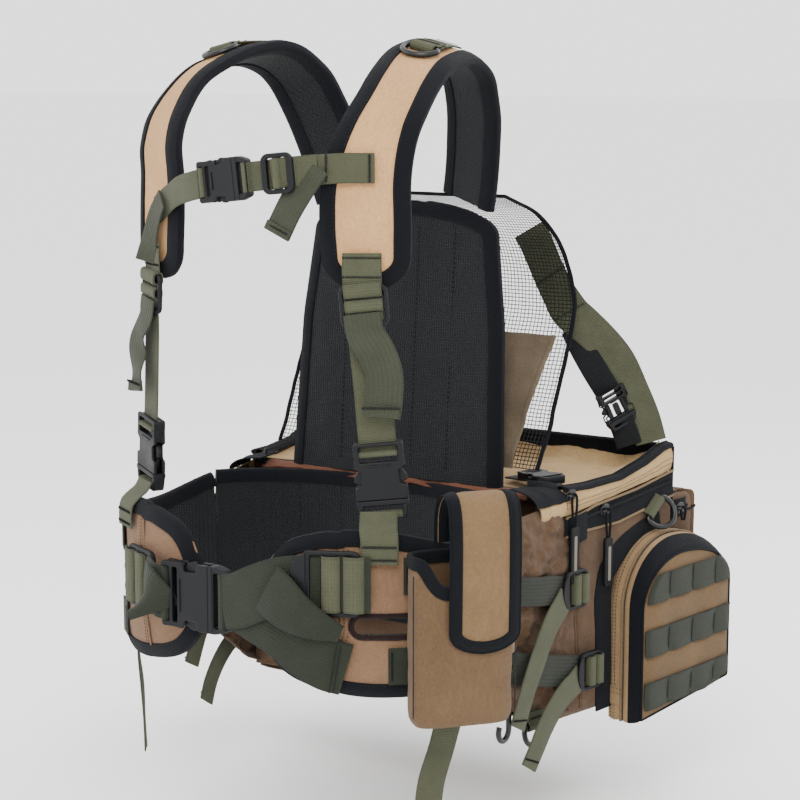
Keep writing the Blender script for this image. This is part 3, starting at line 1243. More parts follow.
def lid():
    """Rim band, its bound upper edge with the lid's zip, and the sunk top."""
    t = np.arange(6, 173, 3.0)
    low, high = through_points(RIM_LOW, t), through_points(RIM_HIGH, t)
    shares = np.linspace(0, 1, 12)
    z = low[:, None] + (high - low)[:, None] * shares[None, :]
    flat = side(t[:, None] + 0 * z, z)
    h = 1.8 + 1.6 * np.sin(shares * math.pi)[None, :] + wrinkle(flat, 24.0, 1.4, 51)
    band = side(t[:, None] + 0 * z, z, h)
    parts = [sheet_piece(band, LID, 1.3, inward=PACK_MIDDLE)]
    for share in (0.30, 0.52):
        line = side(t, low + (high - low) * share, h[:, int(share * 11)] + 0.3)
        parts.append(threads(line, OUT, THREAD))
    edge = side(t, high + 1.0, 1.0)
    parts.append(sweep(edge, OUT, ring_section(2.8, 3.6), NAVY))
    inner = side(t, high + 3.4, -4.4)
    tape = np.stack([side(t, high + 2.2, 0.5), side(t, high + 3.0, -3.5), side(t, high + 2.4, -8.0),
                     side(t, high - 1.0, -10.5)], axis=1)
    parts.append(sheet_piece(tape, NAVY, 1.2))
    parts.append(teeth(inner, UP, 5.0, 1.0, 0.5))
    corner = side(np.full(12, 172.4), np.linspace(67.5, 92, 12), 1.4)
    parts.append(sweep(corner, OUT, ring_section(2.2, 2.6), NAVY))
    both("lid_rim", parts, "lid_cloth", body="lid")
    share, x = grid_over((0, 1, 70), (-1, 1, 110))
    half = 169 + 29 * share
    edge_lift = through_points([(0, 68), (0.23, 66), (0.52, 68), (0.75, 77), (0.92, 88), (1, 90)], share)
    sag = 66 + 8 * share - 4 * np.sin(share * math.pi)
    closeness = np.exp(-(1 - np.abs(x)) * half / 9.0)
    z = sag * (1 - closeness) + edge_lift * closeness
    grid = np.stack([x * half, 136 + 159 * share, z], axis=-1)
    grid[..., 2] += wrinkle(grid, 46.0, 4.0,
                            53) * (1 - closeness) + wrinkle(grid, 17.0, 1.2, 54) * (1 - closeness)
    grid[..., 2] = np.where(share > 0.93, grid[..., 2] + (share - 0.93) / 0.07 * 8, grid[..., 2])
    top = [sheet_piece(grid, LID, 1.4, inward=(0, 200, -100))]
    x, up = grid_over((-203, 203, 90), (0, 1, 10))
    wall = np.stack([x, 298.5 + 1.6 * np.sin(up * math.pi), 68.5 + 23.5 * up], axis=-1)
    wall[..., 1] += wrinkle(wall, 30.0, 1.0, 57)
    top.append(sheet_piece(wall, LID, 1.3, inward=(0, 200, 80)))
    inside = wall.copy()
    inside[..., 1] -= 3.4
    top.append(sheet_piece(inside, NAVY, 1.0, inward=(0, 400, 80)))
    line = np.array([(position, 297.5, 93.0) for position in np.linspace(-205, 205, 110)])
    top.append(sweep(line, UP, ring_section(3.4, 2.4), NAVY))
    front = np.array([(position, 136.0, 67.0) for position in np.linspace(-171, 171, 90)])
    front[:, 2] += wrinkle(front, 30.0, 1.0, 58)
    top.append(sweep(front, UP, ring_section(3.6, 2.6), NAVY))
    # a dark strap and its closed buckle that lie across the lid
    strap_line = rows_of(
        (0.35, 0.93, 0), 18, (172, 143, 72), (150, 158, 73.5), (128, 168, 72, (0.3, 0.95, 0)),
        (100, 178, 70.5, (0.25, 0.96, 0)))
    top.append(strap(strap_line, DARK_WEB, 1.8))
    place = place_at((140, 164, 76.5), (-0.92, 0.36, 0), UP)
    female, male, prongs = buckle(place, 18.0, 42.0, 8.0)
    assemble("pack_lid_top", top + female + male + prongs, ["pack_lid"], "lid")


# ------------------------------------------------------------------ zips


def zip_slider(place, bail_turn=0.0):
    """A slider with its bail; local X lies along the coil and Z out of the tape."""
    wide, long = 11.0, 13.0
    shape = [(-long / 2, -wide * 0.30), (-long * 0.1, -wide * 0.5), (long / 2, -wide * 0.42),
             (long / 2, wide * 0.42), (-long * 0.1, wide * 0.5), (-long / 2, wide * 0.30)]
    parts = [moulded([rounded(shape, 1.5)], 2.0, place, SLIDER, 0.7, 4.0)]
    for edge in (-1, 1):
        wall = rectangle(long * 0.6, 1.4, 0.5, (long * 0.1, edge * wide * 0.42))
        parts.append(moulded([wall], 3.0, place, SLIDER, 0.4, 2.4))
    bail = place @ Matrix.Rotation(math.radians(bail_turn), 4, "Z")
    arch_line = [(-4.6, 0, 3.6), (-4.6, 0, 5.6), (-3.4, 0, 7.4), (0, 0, 8.0), (2.6, 0, 7.6), (4.0, 0, 5.8),
                 (4.2, 0, 3.6)]
    path = even(np.array(through(bail, arch_line)), 1.0)
    parts.append(sweep(path, turned(bail, (0, 1, 0)), ring_section(1.2, 1.3, 8), SLIDER))
    return parts


def cord_pull(hinge, length, cord_share=0.36, tag=True):
    """A pull whose cord loops through the bail and hangs to local -Y, with a moulded tag on its end."""
    turn_back = 2.2
    end = -cord_share * length
    line = [(0.6, end, 0.9), (1.2, end * 0.6, 1.2), (1.0, -3, 1.9), (0.2, 0, turn_back), (0.0, 1.8, 0.2),
            (-0.2, 0, -turn_back), (-1.0, -3, -1.9), (-1.2, end * 0.6, -1.2), (-0.6, end, -0.9)]
    path = spline(np.array(through(hinge, line)), 1.2)
    parts = [sweep(path, turned(hinge, (1, 0, 0.2)), ring_section(1.2, 1.2, 8), NAVY)]
    if tag:
        middle = -0.5 * (1 + cord_share) * length + 1.0
        tall = (1 - cord_share) * length
        body = rectangle(11.5, tall, 3.5, (0, middle))
        parts.append(moulded([body], 4.2, hinge, PULL, 1.2))
        inset = rectangle(4.0, tall - 14, 1.6, (0, middle - 1.5))
        for face in (-1, 1):
            parts.append(moulded([inset], 1.0, hinge, PRINT, 0.3, face * 1.9))
    return parts


BAIL_TOP = 8.7


def hinge_of(place, bail_turn):
    """Where a pull turns: the top of the slider's bail, turned as the bail is."""
    return place @ Matrix.Rotation(math.radians(bail_turn), 4, "Z") @ Matrix.Translation((0, 0, BAIL_TOP))


def zips():
    """Every slider and pull, each on the body that carries it."""
    place = side_place(60, 46.6, 1.5) @ Matrix.Rotation(math.atan(0.11), 4, "Z")
    assemble("main_slider", zip_slider(place), ["main_zip_slider"], "main_slider")
    hinge = Matrix.Translation(place @ Vector((0, 0, BAIL_TOP))) @ side_place(0, 0).to_3x3().to_4x4()
    assemble("main_tag", cord_pull(hinge, 74.0), ["main_zip_pull"], "main_pull")
    place = side_place(10, 68, 0)
    assemble("lid_slider", zip_slider(place), ["lid_zip_slider"], "lid_slider")
    pull = cord_pull(hinge_of(place, 0), 84.0)
    assemble("lid_tag", pull, ["lid_zip_pull"], "lid_pull")
    place = place_at(side(227, -98, 12), OUT, ALONG)
    slider = zip_slider(place, -90)
    pull = cord_pull(hinge_of(place, -90), 34.0)
    twin = [mirrored(part, "right_pocket_part") for part in slider + pull]
    assemble("right_pocket_zip_set", twin, ["right_pocket_zip_slider"], "right_pocket_slider")
    assemble("left_pocket_slider_set", slider, ["left_pocket_zip_slider"],
             "left_pocket_slider")
    assemble("left_pocket_tag_set", pull, ["left_pocket_zip_pull"], "left_pocket_pull")
    place = side_place(184, 29, -0.2)
    rear = zip_slider(place) + cord_pull(hinge_of(place, 0), 13.0, 0.9, False)
    assemble("rear_slider_set", rear, ["rear_zip_slider"], "rear_slider")


# ------------------------------------------------------------------ pockets

OUTLINE_POINTS = 168
POCKET_CENTRE = np.array([152.0, -82.0])


def arch_path(inset, top):
    """A side pocket's outline in t and z: straight sides under an arch, inset all round."""
    front, rear = 77.0 + inset, 227.0 - inset
    spring, fall = -52.0, -42.0
    crown = 0.55 * front + 0.45 * rear
    top = top - inset
    low_front, low_rear = -161.0 + inset, -146.0 + inset
    points = [(front, low_front)] + [(front, z) for z in np.arange(low_front + 6, spring, 6)]
    for turn in np.linspace(0, math.pi / 2, 20):
        points.append((crown - (crown - front) * math.cos(turn), spring + (top - spring) * math.sin(turn)))
    for turn in np.linspace(0, math.pi / 2, 20)[1:]:
        points.append((crown + (rear - crown) * math.sin(turn), fall + (top - fall) * math.cos(turn)))
    points += [(rear, z) for z in np.arange(fall - 6, low_rear + 3, -6)] + [(rear, low_rear)]
    points += [(rear + (front - rear) * part, low_rear + (low_front - low_rear) * part)
               for part in np.linspace(0, 1, 24)[1:-1]]
    path = even(np.array(points), 3.0, True)
    closed = np.vstack([path, path[:1]])
    at = distances(closed)
    where = np.linspace(0, at[-1], OUTLINE_POINTS + 1)[:-1]
    return np.stack([np.interp(where, at, closed[:, column]) for column in range(2)], axis=1)


def arch_at(inset, top, h):
    """The pocket's outline at a height above the pack's side."""
    loop = arch_path(inset, top)
    return side(loop[:, 0], loop[:, 1], h)


def ring_shell(rings, material, thickness):
    """A closed band through rings of points: outer skin, inner skin and rims."""
    outer = np.stack(rings, axis=0)
    along = np.gradient(outer, axis=0)
    around = np.roll(outer, -1, axis=1) - np.roll(outer, 1, axis=1)
    normal = unit(np.cross(around, along))
    if np.sum(normal * (outer - outer.mean(axis=(0, 1)))) < 0:
        normal = -normal
    stack = np.concatenate([outer, (outer - normal * thickness)[::-1]], axis=0)
    faces = lattice(*stack.shape[:2], around=True, along=True)
    return piece(stack.reshape(-1, 3), faces, material)


def side_pocket():
    """Gusset with its base strip, stitching and zip, and the bevelled cover with webbing rows."""
    base = arch_path(0, 14)
    rings = []
    for h in (0.6, 3.0, 6.0, 9.0, 12.0, 15.0, 17.2):
        points = arch_at(0.6 - 1.5 * math.sin(math.pi * min(h / 17.2, 1)), 14 - 0.1 * h, h)
        rings.append(points + OUT * (0.2 * wrinkle(points, 18.0, 1.6, 61))[:, None])
    gusset = [ring_shell(rings, GUSSET, 1.6)]
    normals = np.roll(base, -1, axis=0) - np.roll(base, 1, axis=0)
    normals = unit(np.stack([-normals[:, 1], normals[:, 0]], axis=1))
    lifts = ALONG * normals[:, :1] + np.array(UP) * normals[:, 1:]
    for h in (5.0, 8.6):
        line = arch_at(-1.1, 14 - 0.1 * h, h)
        gusset.append(threads(line, lifts, THREAD, 3.6, 2.6, 0.5, 0.3))
    piping = ring_section(1.2, 1.2, 8)
    gusset.append(sweep(arch_at(-0.6, 12.4, 15.6), lifts, piping, PIPING, closed=True))
    gusset.append(teeth(arch_at(0.2, 12.2, 17.9), lifts, 2.4, 0.9, 0.2))
    # the wall behind the pocket, seen below the pack and when the cover is open
    outline = arch_path(1.5, 12)
    wall = np.stack([POCKET_CENTRE + (outline - POCKET_CENTRE) * share for share in np.linspace(1, 0.02, 12)])
    wall = np.concatenate([wall, wall[:, :1]], axis=1)
    gusset.append(sheet_piece(side(wall[..., 0], wall[..., 1], 1.2), GUSSET, 1.0))
    bar_low, bar_high = -146, -128
    bar = np.stack([side([77.2, 76.2, 76.2, 77.2], level, [1.0, 4.0, 13.0, 16.5]) for level in
                    np.linspace(bar_low, bar_high, 6)], axis=0)
    gusset.append(sheet_piece(bar - ALONG * 0.9, GUSSET, 1.2, inward=tuple(side(150, -80, 9))))
    for level in (bar_high - 2, bar_high - 6.5):
        line = side([75.0, 74.6, 75.0], level, [2, 9, 16])
        gusset.append(threads(line, -ALONG, THREAD))
    both("side_pocket_gusset", gusset, "pouch_cloth", ["{side}_side_pocket"])
    cover = []
    for material, sections in (
            (GUSSET, ((17.9, 0.4, 12.4), (19.4, -0.5, 12), (22.5, -0.9, 11.2), (25.2, -0.6, 10))),
            (NAVY, ((24.6, -1.1, 10.4), (27, -0.9, 9.2), (31, -0.1, 6.6), (34.8, 1.0, 3.2),
                    (37.2, 3.0, 0.6), (37.4, 5.2, 0.6)))):
        rings = [arch_at(inset, top, h) for h, inset, top in sections]
        cover.append(ring_shell(rings, material, 1.5))
    outline = arch_path(3.0, 0.4)
    shares = np.array([1.0, 0.985, 0.96, 0.92] + [0.86 - 0.08 * number for number in range(11)])
    points = []
    for share in shares:
        loop = POCKET_CENTRE + (outline - POCKET_CENTRE) * share
        h = face_height(loop[:, 0], loop[:, 1], np.full(len(loop), 1 - share))
        points.append(side(loop[:, 0], loop[:, 1], h))
    middle = side(*POCKET_CENTRE, float(face_height(*POCKET_CENTRE, 1.0)[0]))
    flat = np.vstack([np.stack(points).reshape(-1, 3), middle])
    count, whole = len(outline), len(flat)
    last = whole - 1 - count
    faces = lattice(len(shares), count, around=True)
    faces += [(last + number, last + (number + 1) % count, whole - 1) for number in range(count)]
    faces += [tuple(whole + corner for corner in reversed(face)) for face in faces]
    for number in range(count):
        following = (number + 1) % count
        faces.append((number, following, whole + following, whole + number))
    cover.append(piece(np.vstack([flat, flat - OUT * 1.6]), faces, POCKET))
    edge = ring_section(1.0, 0.9, 8)
    cover.append(sweep(arch_at(3.2, 0.4, 37.9), OUT, edge, NAVY, closed=True))
    crown = outline[np.argmax(outline[:, 1]), 0]
    limits = []
    for flank in (outline[:, 0] < crown, outline[:, 0] > crown):
        chosen = outline[flank & (np.abs(outline[:, 0] - crown) > 4)]
        limits.append(chosen[np.argsort(chosen[:, 1])])
    for number, level in enumerate((-30, -82, -134)):
        shares = np.array([-1, -0.96, -0.85, -0.4, 0, 0.4, 0.85, 0.96, 1])
        low, high = [np.interp(level + 13 * shares, limit[:, 1], limit[:, 0]) for limit in limits]
        reach = np.linspace(0, 1, 60)[:, None]
        t = low + 2.5 + (high - low - 5.5) * reach
        z = level + 13.2 * shares + 0.02 * (t - 150)
        bulge = 2.2 * np.abs(np.sin((t - 80) / 38.0 * math.pi)) ** 0.7
        edge = np.clip(np.minimum(t - low - 2.5, high - 3 - t) / 5, 0, 1) ** 0.5
        h = face_height(t, z, np.ones(t.shape)) + 0.9 + (0.4 + bulge) * edge - 0.5 * np.abs(shares) ** 8
        uv = np.stack([t * MM, np.broadcast_to((shares + 1) / 2, t.shape)], axis=-1).reshape(-1, 2)
        cover.append(sheet_piece(side(t, z, h), GRID, 1.5, uv, inward=(0, 200, -60)))
        for mark in (118, 156, 194):
            height = float(face_height(mark, level, 1.0)[0]) + 2.2
            line = side([mark, mark + 1.2], [level - 12, level + 12], [height, height])
            cover.append(bartack(line, OUT, 2.2, 0.55, 0.2))
    both("cover_cloth", cover, "pouch_cloth", ["{side}_pocket_cover", "{side}_molle_webbing"],
         "{side}_cover")


def face_height(t, z, depth):
    """How far the pocket's face stands out: domed, pressed down by the webbing rows, and wrinkled."""
    t, z, depth = (np.atleast_1d(np.asarray(value, float)) for value in (t, z, depth))
    rows = sum(np.exp(-((z - level) / 15.0) ** 4) for level in (-29, -82, -135))
    dome = 37.2 + 1.6 * np.clip(depth * 6, 0, 1)
    flat = side(t, z)
    swell = 3.2 * (1 - np.clip(rows, 0, 1)) * np.clip(depth * 5, 0, 1)
    folds = wrinkle(flat, 26.0, 1.5, 63, (1.6, 1.6, 0.7)) + wrinkle(flat, 9.0, 0.5, 64)
    return dome + swell + folds * np.clip(depth * 4, 0, 1) * (1 - 0.7 * np.clip(rows, 0, 1))


def rear_pocket():
    """A soft box across the rear with a zipped mouth along its top."""
    spread = math.tan(math.radians(10)) * 55
    front_half, rear_half = REAR_HALF - 0.5, REAR_HALF + spread - 6
    half = [(-front_half, REAR_Y + 0.8), (-front_half - 4, REAR_Y + 22), (-rear_half - 3, REAR_Y + 40)]
    half += [(-rear_half + 14 * (1 - math.sin(turn)) - 2, REAR_Y + 41 + 13 * (1 - math.cos(turn)))
             for turn in np.linspace(0.2, math.pi / 2, 8)]
    half = half + [(-0.6 * rear_half, REAR_Y + 54.5), (-0.3 * rear_half, REAR_Y + 54.5)]
    plan = even(np.array(half + [(-x, y) for x, y in reversed(half)]), 4.5)
    levels = np.concatenate([[FLOOR + 1, FLOOR + 2, FLOOR + 5], np.linspace(FLOOR + 10, 30, 30),
                             [35, 39, 41, 41.5]])
    insets = np.concatenate([[8, 4, 1.5], np.zeros(30), [0.5, 2, 4.5, 8]])
    rows = []
    for level, inset in zip(levels, insets):
        away = unit(np.column_stack([0.1 * plan[:, 0], plan[:, 1] - REAR_Y - 25]))
        points = np.column_stack([plan - away * inset, np.full(len(plan), level)])
        swell = 1.6 * math.sin(math.pi * (level - FLOOR) / 192)
        push = (swell - 1.6 + wrinkle(points, 42.0, 2.6, 71) * 0.8)[:, None] * np.clip(1 - inset / 8, 0, 1)
        points[:, :2] += away * push
        points[:, 1] = np.maximum(points[:, 1], REAR_Y + 0.6)
        rows.append(points)
    shell = sheet_piece(np.stack(rows, axis=0), PACK, 1.5, inward=(0, 320, -50))
    parts = [shell]
    for low, high in ((REAR_Y + 1.0, REAR_Y + 23.5), (REAR_Y + 31.5, REAR_Y + 50)):
        x, y = grid_over((-200, 200, 80), (low, high, 8))
        parts.append(flat_panel(x, y, 41.0, (2, 0.7), PACK, 73, 1.0, (0, 320, -90)))
    for edge in (REAR_Y + 24.5, REAR_Y + 30.5):
        x, y = grid_over((-196, 196, 60), (edge - 2.5, edge + 2.5, 4))
        parts.append(flat_panel(x, y, 42.4, (2, 0.3), NAVY, 74, 1.0, (0, 320, -90)))
        line = np.array([(position, edge, 43.6) for position in np.linspace(-194, 194, 120)])
        parts.append(teeth(line, UP, 3.0, 0.9, 0.2))
    for level in (26, -140):
        points = rows[int(np.argmin(np.abs(levels - level)))] + np.array([0, 0.8, 0])
        out = unit(np.column_stack([points[:, 0] * 0.25, points[:, 1] - REAR_Y, 0 * points[:, 0]]))
        parts.append(sweep(points, out, ring_section(1.5, 1.5, 8), NAVY))
    coil_t = np.linspace(178, 201, 14)
    sink = 3.0 * np.clip((coil_t - 192) / 9, 0, 1) ** 2
    parts.append(teeth(side(coil_t, 29.0, 3.4 - sink), OUT, 5.0, 1.0, 0.3))
    tape = np.stack([side(coil_t, level, 2.4 - sink) for level in (20, 26, 32, 38)], axis=1)
    parts.append(sheet_piece(tape, NAVY, 1.0, inward=(0, 300, 0)))
    assemble("rear_pocket_cloth", parts, ["rear_pocket"])


# ------------------------------------------------------------------ radio pouch

POUCH_OUT = np.array([math.sin(math.radians(50)), -math.cos(math.radians(50)), 0.0])
POUCH_ACROSS = np.array([math.cos(math.radians(50)), math.sin(math.radians(50)), 0.0])
POUCH_BASE = np.array([211.0, -88.5, 0.0])


def pouch_point(across, z, out):
    """A point by the pouch: across its face, up, and out from the wearer."""
    across, z, out = (np.asarray(value, float)[..., None] for value in (across, z, out))
    return POUCH_BASE + POUCH_ACROSS * across + POUCH_OUT * out + np.array(UP) * z


def radio_pouch():
    """A soft open pouch with a dipped, bound rim, and the cover strip that folds over it."""
    turns = np.linspace(0, 2 * math.pi, 97)[:-1]
    cosine, sine = np.cos(turns), np.sin(turns)
    across = 45.5 * np.sign(cosine) * np.abs(cosine) ** 0.5
    out = -19 + 18.6 * np.sign(sine) * np.abs(sine) ** 0.55
    dip = 26 * np.clip(sine * 1.6, 0, 1) ** 2 * np.exp(-(across / 33.0) ** 6)
    rings = []
    for share in np.concatenate([[0.0, 0.012, 0.04], np.linspace(0.08, 1, 30)]):
        tuck = 1 - 0.16 * math.exp(-share * 40) - 0.05 * share
        wide = 1 - 0.10 * math.exp(-share * 35) - 0.03 * share
        z = -87.5 + (144 - dip) * share
        swell = 1 + 0.05 * math.sin(math.pi * share)
        points = pouch_point(across * wide, z, -19 + (out + 19) * tuck * swell)
        folds = wrinkle(points, 24.0, 2.0, 81, (1, 1, 1.6)) * math.sin(math.pi * min(share + 0.04, 1))
        away = unit(np.column_stack([across, out + 19]))
        points += (POUCH_ACROSS * away[:, :1] + POUCH_OUT * away[:, 1:]) * (folds - 0.8)[:, None]
        rings.append(points)
    parts = [ring_shell(rings, POUCH, 1.8)]
    floor = pouch_point(np.outer(np.linspace(1, 0, 8), across * 0.86), -87.0 + 0 * across[None],
                        -19 + np.outer(np.linspace(1, 0, 8), (out + 19) * 0.82))
    parts.append(sheet_piece(np.concatenate([floor, floor[:, :1]], axis=1), POUCH, 1.2))
    rim = rings[-1]
    away = POUCH_ACROSS * (across / 45)[:, None] + POUCH_OUT * ((out + 19) / 19)[:, None]
    _, _, up = frames_along(rim, UP, True)
    section = [(-2.4, 0.8), (-1.2, 2.0), (1.2, 2.0), (2.4, 0.8), (2.6, -3), (2.5, -8.6), (1.5, -9),
               (0.9, -3),
               (-0.9, -3), (-1.5, -9), (-2.5, -8.6), (-2.6, -3)]
    parts.append(sweep(rim - unit(away) * 0.9, up, section, NAVY, closed=True))
    for edge in (-1, 1):
        heights = np.linspace(-78, 44, 40)
        line = pouch_point(edge * 45.0 + 0 * heights, heights, -6.0 + 0 * heights)
        parts.append(sweep(line, POUCH_OUT + edge * POUCH_ACROSS, ring_section(0.6, 0.5, 8), THREAD))
    assemble("radio_pouch_cloth", parts, ["radio_pouch"])
    rise = [(-39.8, 64), (-39.8, 75), (-38.8, 87), (-34, 98), (-26, 106), (-16, 109.5), (-6.5, 107),
            (0, 98.5),
            (3.2, 87), (4.4, 74), (4.6, 60), (4.4, 40), (4.0, 20), (3.6, 0), (3.2, -14), (3.0, -22)]
    stations = [(tuple(pouch_point(15, z, reach)), tuple(POUCH_ACROSS), 58) for reach, z in rise]
    rows = with_normals(stations, tuple(pouch_point(15, 30, -18)))
    parts = bound_panel(rows, 2.4, 0.9, 83, FLAP, lining=NAVY, reaches=(0, 16), rim=8.5, fold=0.9,
                        step=3.5, columns=21)
    assemble("pouch_flap_cloth", parts, ["radio_pouch_flap"], "pouch_flap")


# ------------------------------------------------------------------ straps and rings on the pack

NARROW = 25.0


def pack_straps():
    """Compression straps with locks and long tails, and the straps that hang below the hip wings."""
    upper = rows_of(
        UP, 27, (174, 48, -5), (177.5, 62, -8), (181.0, 84, -12), (182.6, 108, -16, UP, 28),
        (183.2, 122, -19, UP, 28), (185.2, 136, -20.5, UP, 28))
    lower = rows_of(
        UP, 30, (176, 48, -76), (179, 62, -80), (182.3, 86, -86), (183.6, 112, -93), (186.7, 138, -99),
        (189, 156, -102.5))
    tail_upper = rows_of(
        (0.12, 0.68, -0.72), NARROW, (187.5, 127, -26, (0.1, 0.6, -0.8), 26), (188.0, 116, -33),
        (188.2, 102, -42, (0.12, 0.75, -0.65)), (188.4, 88, -55, (0.1, 0.85, -0.52)),
        (188.3, 73, -74, (0.1, 0.92, -0.38)), (188.0, 56, -98, (0.05, 0.96, -0.25)),
        (187.0, 40, -128, (0.05, 0.97, -0.2)))
    tail_lower = rows_of(
        (0.12, 0.5, -0.85), NARROW, (192.0, 148, -107, (0.1, 0.45, -0.88), 27), (192.0, 136, -111),
        (191.5, 120, -116, (0.1, 0.6, -0.8)), (191.0, 103, -125, (0.1, 0.75, -0.66)),
        (190.2, 86, -139, (0.1, 0.9, -0.45)), (189.0, 72, -156, (0.1, 0.93, -0.38)),
        (186.5, 62, -172, (0.1, 0.9, -0.4)))
    parts = [strap(upper, SQUEEZE), strap(lower, SQUEEZE),
             strap(tail_upper, curl=0.5), strap(tail_lower, curl=0.5)]
    for spot, across in (((187.2, 42, -121), (0.05, 0.97, -0.2)), ((187.2, 65, -165), (0.1, 0.9, -0.4))):
        ends = [np.array(spot) + unit(np.array(across)) * reach for reach in (-11, 11)]
        parts.append(bartack(ends, OUT, 2.6, 0.5, 1.4))
    both("squeeze_straps", parts, "webbing", shared=["compression_straps"])
    turn = Matrix.Rotation(-math.pi / 2, 4, "Z")
    locks = ladder(side_place(12, -21, 9.6) @ turn, 28.0)
    locks += ladder(side_place(34, -103, 11.0) @ turn, 28.0)
    hanging = rows_of(
        (0.6, 0.8, 0), NARROW, (180, -49, -60), (174, -55, -92, (0.62, 0.78, 0)),
        (168, -58, -120, (0.58, 0.81, 0)), (161, -64, -152, (0.62, 0.78, 0)), (158, -66, -180))
    both("hanging_strap", [strap(hanging, curl=0.6)], "webbing", shared=["hanging_straps"])
    return locks


def lifters():
    """Load lifters: stitched upper end, wide arc, and a buckled lower run that the lid carries."""
    wide = rows_of(
        (0.86, 0, 0.52), 36, (96, 214.5, 306), (106, 214.6, 288), (118, 214.5, 264),
        (130, 214.2, 244, (0.84, 0.1, 0.52)), (141, 216, 228, (0.74, 0.44, 0.5)),
        (151, 223.5, 217, (0.72, 0.5, 0.48), 35), (161, 232, 205, (0.74, 0.48, 0.46), 34),
        (175, 247.5, 181, (0.78, 0.5, 0.4), 34), (186, 258.5, 152, (0.82, 0.52, 0.25), 32),
        (196.5, 268, 121, (0.84, 0.54, 0.12), 30), (201, 272, 100, (0.84, 0.54, 0.1), 30))
    under = rows_of(
        (0.6, 0.45, 0.6), NARROW, (141, 218.5, 212, (0.4, 0.25, 0.85), 22),
        (148, 224.5, 195, (0.5, 0.35, 0.75), 24), (157, 232, 175), (169, 242, 150, (0.8, 0.5, 0.4)))
    end = rows_of((0.84, 0.54, 0.1), NARROW, (178.5, 251, 122), (181.5, 255, 110), (184.5, 258.5, 97))
    parts = [strap(wide), strap(under, DARK_WEB), strap(end, DARK_WEB)]
    for spot, across in (((119, 213.0, 262), (0.86, 0, 0.52)), ((141, 213.5, 229), (0.74, 0.44, 0.5))):
        ends = [np.array(spot) + unit(np.array(across)) * reach for reach in (-16, 16)]
        parts.append(bartack(ends, (-0.4, -0.6, 0.5), 2.8, 0.6, 0.4))
    place = place_at((175, 248, 135), (-0.25, -0.35, 0.9), (0.74, -0.62, 0.2))
    female, male, prongs = buckle(place, 20.0, 40.0, 8.0)
    left = join("left_lifter", parts + female + male + prongs)
    right = mirrored(left, "right_lifter")
    for sign, thing in ((1, left), (-1, right)):
        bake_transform(thing)
    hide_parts("load_lifter_straps")


def rings():
    """The wire rings and the hook on the pack, with their webbing loops."""
    d_place = place_at(side(138, 37, 7), ALONG * -0.5 + np.array([0, 0, 0.62]) - OUT * 0.6, OUT)
    both("side_wire_ring", [wire_ring(d_place, 16.0, 6.0)], "ring_metal", ["{side}_d_ring"],
         "{side}_d_ring")
    loops = loop_round(d_place, 16.0)
    gear_place = place_at((172, 100, -143), UP, (0.985, -0.174, 0))
    ring = wire_ring(gear_place, 16.0, 4.0)
    assemble("gear_wire_ring", [ring], ["gear_ring"], "gear_ring")
    hook_place = place_at((180, 20, -104), UP, (1, 0, 0))
    line = [(x, 0, 0) for x in np.linspace(-15, 12, 8)] + [(15, -0.8, 0), (16, -4, 0), (16, -14, 0)]
    line += [(7 + 9 * math.cos(turn), -24 + 9 * math.sin(turn),
              0) for turn in np.linspace(0, -215 / 180 * math.pi, 24)]
    path = even(np.array(through(hook_place, line)), 1.5)
    hook = sweep(path, turned(hook_place, (0, 0, 1)), ring_section(2.6, count=12), METAL)
    assemble("gear_wire_hook", [hook], ["gear_hook"], "gear_hook")
    gear_loops = loop_round(gear_place, 14.0) + loop_round(hook_place, 40.0)
    assemble("gear_loops", gear_loops)
    return loops


# ------------------------------------------------------------------ back


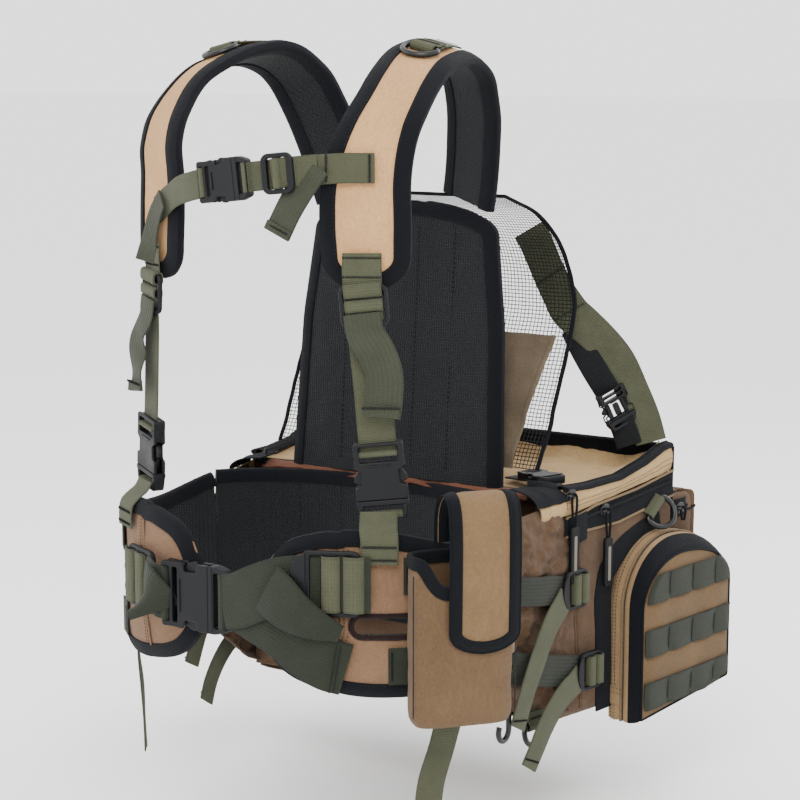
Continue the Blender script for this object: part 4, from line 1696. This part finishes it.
def back_panel():
    """The quilted back pad, the tan flap behind it and the mesh sleeve."""
    up = unit(np.array([0, 0.075, 1.0]))
    rows = []
    for height in (0, 40, 80, 120, 150, 180, 205, 225, 236, 246, 256, 262):
        wide = np.interp(height, [0, 150, 262], [236, 224, 196])
        point = np.array([0, 121, 70.0]) + up * (height + 0.5)
        rows.append((tuple(point), (1, 0, 0), (0, -1, 0.075), wide - 2))
    parts = bound_panel(rows, 9.0, 2.0, 91, SPACER, lining=NAVY, reaches=(0, 26), rim=11.0, step=6.0,
                        columns=41)
    for x in (-60, -20, 20, 60):
        heights = np.linspace(14, 240, 40)
        line = np.array([0, 121, 70.0]) + up * heights[:, None] + np.array([x, -2.2, 0])
        parts.append(threads(line, (0, -1, 0.075), BLACK_THREAD, 4.5, 3.4, 0.7))
    assemble("back_pad_cover", parts, ["back_panel"])
    flap = spline([(134, 88, 244), (142, 116, 250), (160, 160, 262), (174, 188, 272), (187, 209, 280)], 4.0)
    x = np.linspace(-1, 1, 70)
    grid = np.stack([flap[:, 2:3] * 0.5 * x[None, :], flap[:, :1] + 0 * x[None],
                     flap[:, 1:2] + 0 * x[None]], axis=-1)
    grid[..., 1] += 1.2 + wrinkle(grid, 44.0, 4.2, 93) + wrinkle(grid, 15.0, 1.2, 94)
    cover = [sheet_piece(grid, HIDE, 1.3, inward=(0, 160, 0))]
    for column in (0, -1):
        line = grid[:, column] + np.array([0, 0.4, 0])
        cover.append(sweep(line, (0, 0.9, 0.4), ring_section(2.4, 1.5, 8), HIDE))
    line = grid[-1] + np.array([0, 0.6, -4])
    cover.append(threads(line, (0, 0.9, 0.4), THREAD))
    flap_cover = assemble("back_flap_cloth", cover, ["back_flap"])
    sleeve = spline([(139.5, 88, 296), (158, 121, 300), (185, 180, 300), (210, 241, 296), (211, 285, 270),
                     (190, 322, 236), (157, 340, 204)], 4.0)
    x = np.linspace(-1, 1, 75)
    surface = np.stack([sleeve[:, 2:3] * 0.5 * x[None, :], sleeve[:, :1] + 0 * x[None],
                        sleeve[:, 1:2] + 0 * x[None]], axis=-1)
    surface[..., 1] += wrinkle(surface, 60.0, 3.5, 96)
    normals = grid_normals(surface)
    net = net_strands(surface, normals)
    edges = []
    for line, up_way in ((surface[:, 0], normals[:, 0]), (surface[:, -1], normals[:, -1]),
                         (surface[-1], normals[-1])):
        edges.append(sweep(line, up_way, ring_section(2.4, 1.6, 8), NAVY))
    assemble("mesh_sleeve_net", [net] + edges, ["mesh_sleeve"])


def net_strands(surface, normals):
    """A square net: flat strands along every row and column of a grid."""
    half = 0.42
    points, faces = [], []
    rows, columns = surface.shape[:2]
    across = unit(np.gradient(surface, axis=1))
    down = unit(np.gradient(surface, axis=0))

    def strand(line, side_way, up_way):
        """Three-sided strand along a line."""
        base = len(points)
        for spot, side_step, up_step in zip(line, side_way, up_way):
            points.extend([spot - side_step * half, spot + up_step * 0.3, spot + side_step * half])
        for number in range(len(line) - 1):
            first = base + 3 * number
            for edge in range(3):
                following = (edge + 1) % 3
                faces.append((first + edge, first + following, first + 3 + following, first + 3 + edge))
    for row in range(rows):
        strand(surface[row], down[row], normals[row])
    for column in range(columns):
        strand(surface[:, column], across[:, column], normals[:, column])
    return piece(points, faces, NET)


def garnish():
    """Shelf cloth between back and lid, with a dark strap end at each side."""
    x, y = grid_over((-0.3, 152, 36), (114, 138, 10))
    z = 66 + 4 * np.sin((y - 114) / 24 * math.pi)
    shelf = [flat_panel(x, y, z, (2, 1.0), SHELF, 97, 3.0, (0, 130, 0))]
    run = rows_of(
        (0.2, 0.3, 0.9), 16, (150, 118, 74), (160, 127, 73, (0.1, 0.5, 0.8)),
        (171, 138, 71, (-0.2, 0.7, 0.6)))
    shelf.append(strap(run, DARK_WEB))
    both("back_shelf", shelf, "pack_cloth")


# ------------------------------------------------------------------ build


studio()
lock_parts, loop_parts = harness()
pack_sides()
pack_walls()
zip_band()
lid()
zips()
side_pocket()
rear_pocket()
radio_pouch()
lock_parts += pack_straps()
lifters()
loop_parts += rings()
back_panel()
garnish()
both("ladder_lock_set", lock_parts, "buckle_plastic", shared=["ladder_locks"])
both("sewn_tabs", loop_parts, "webbing", shared=["sewn_loops"])
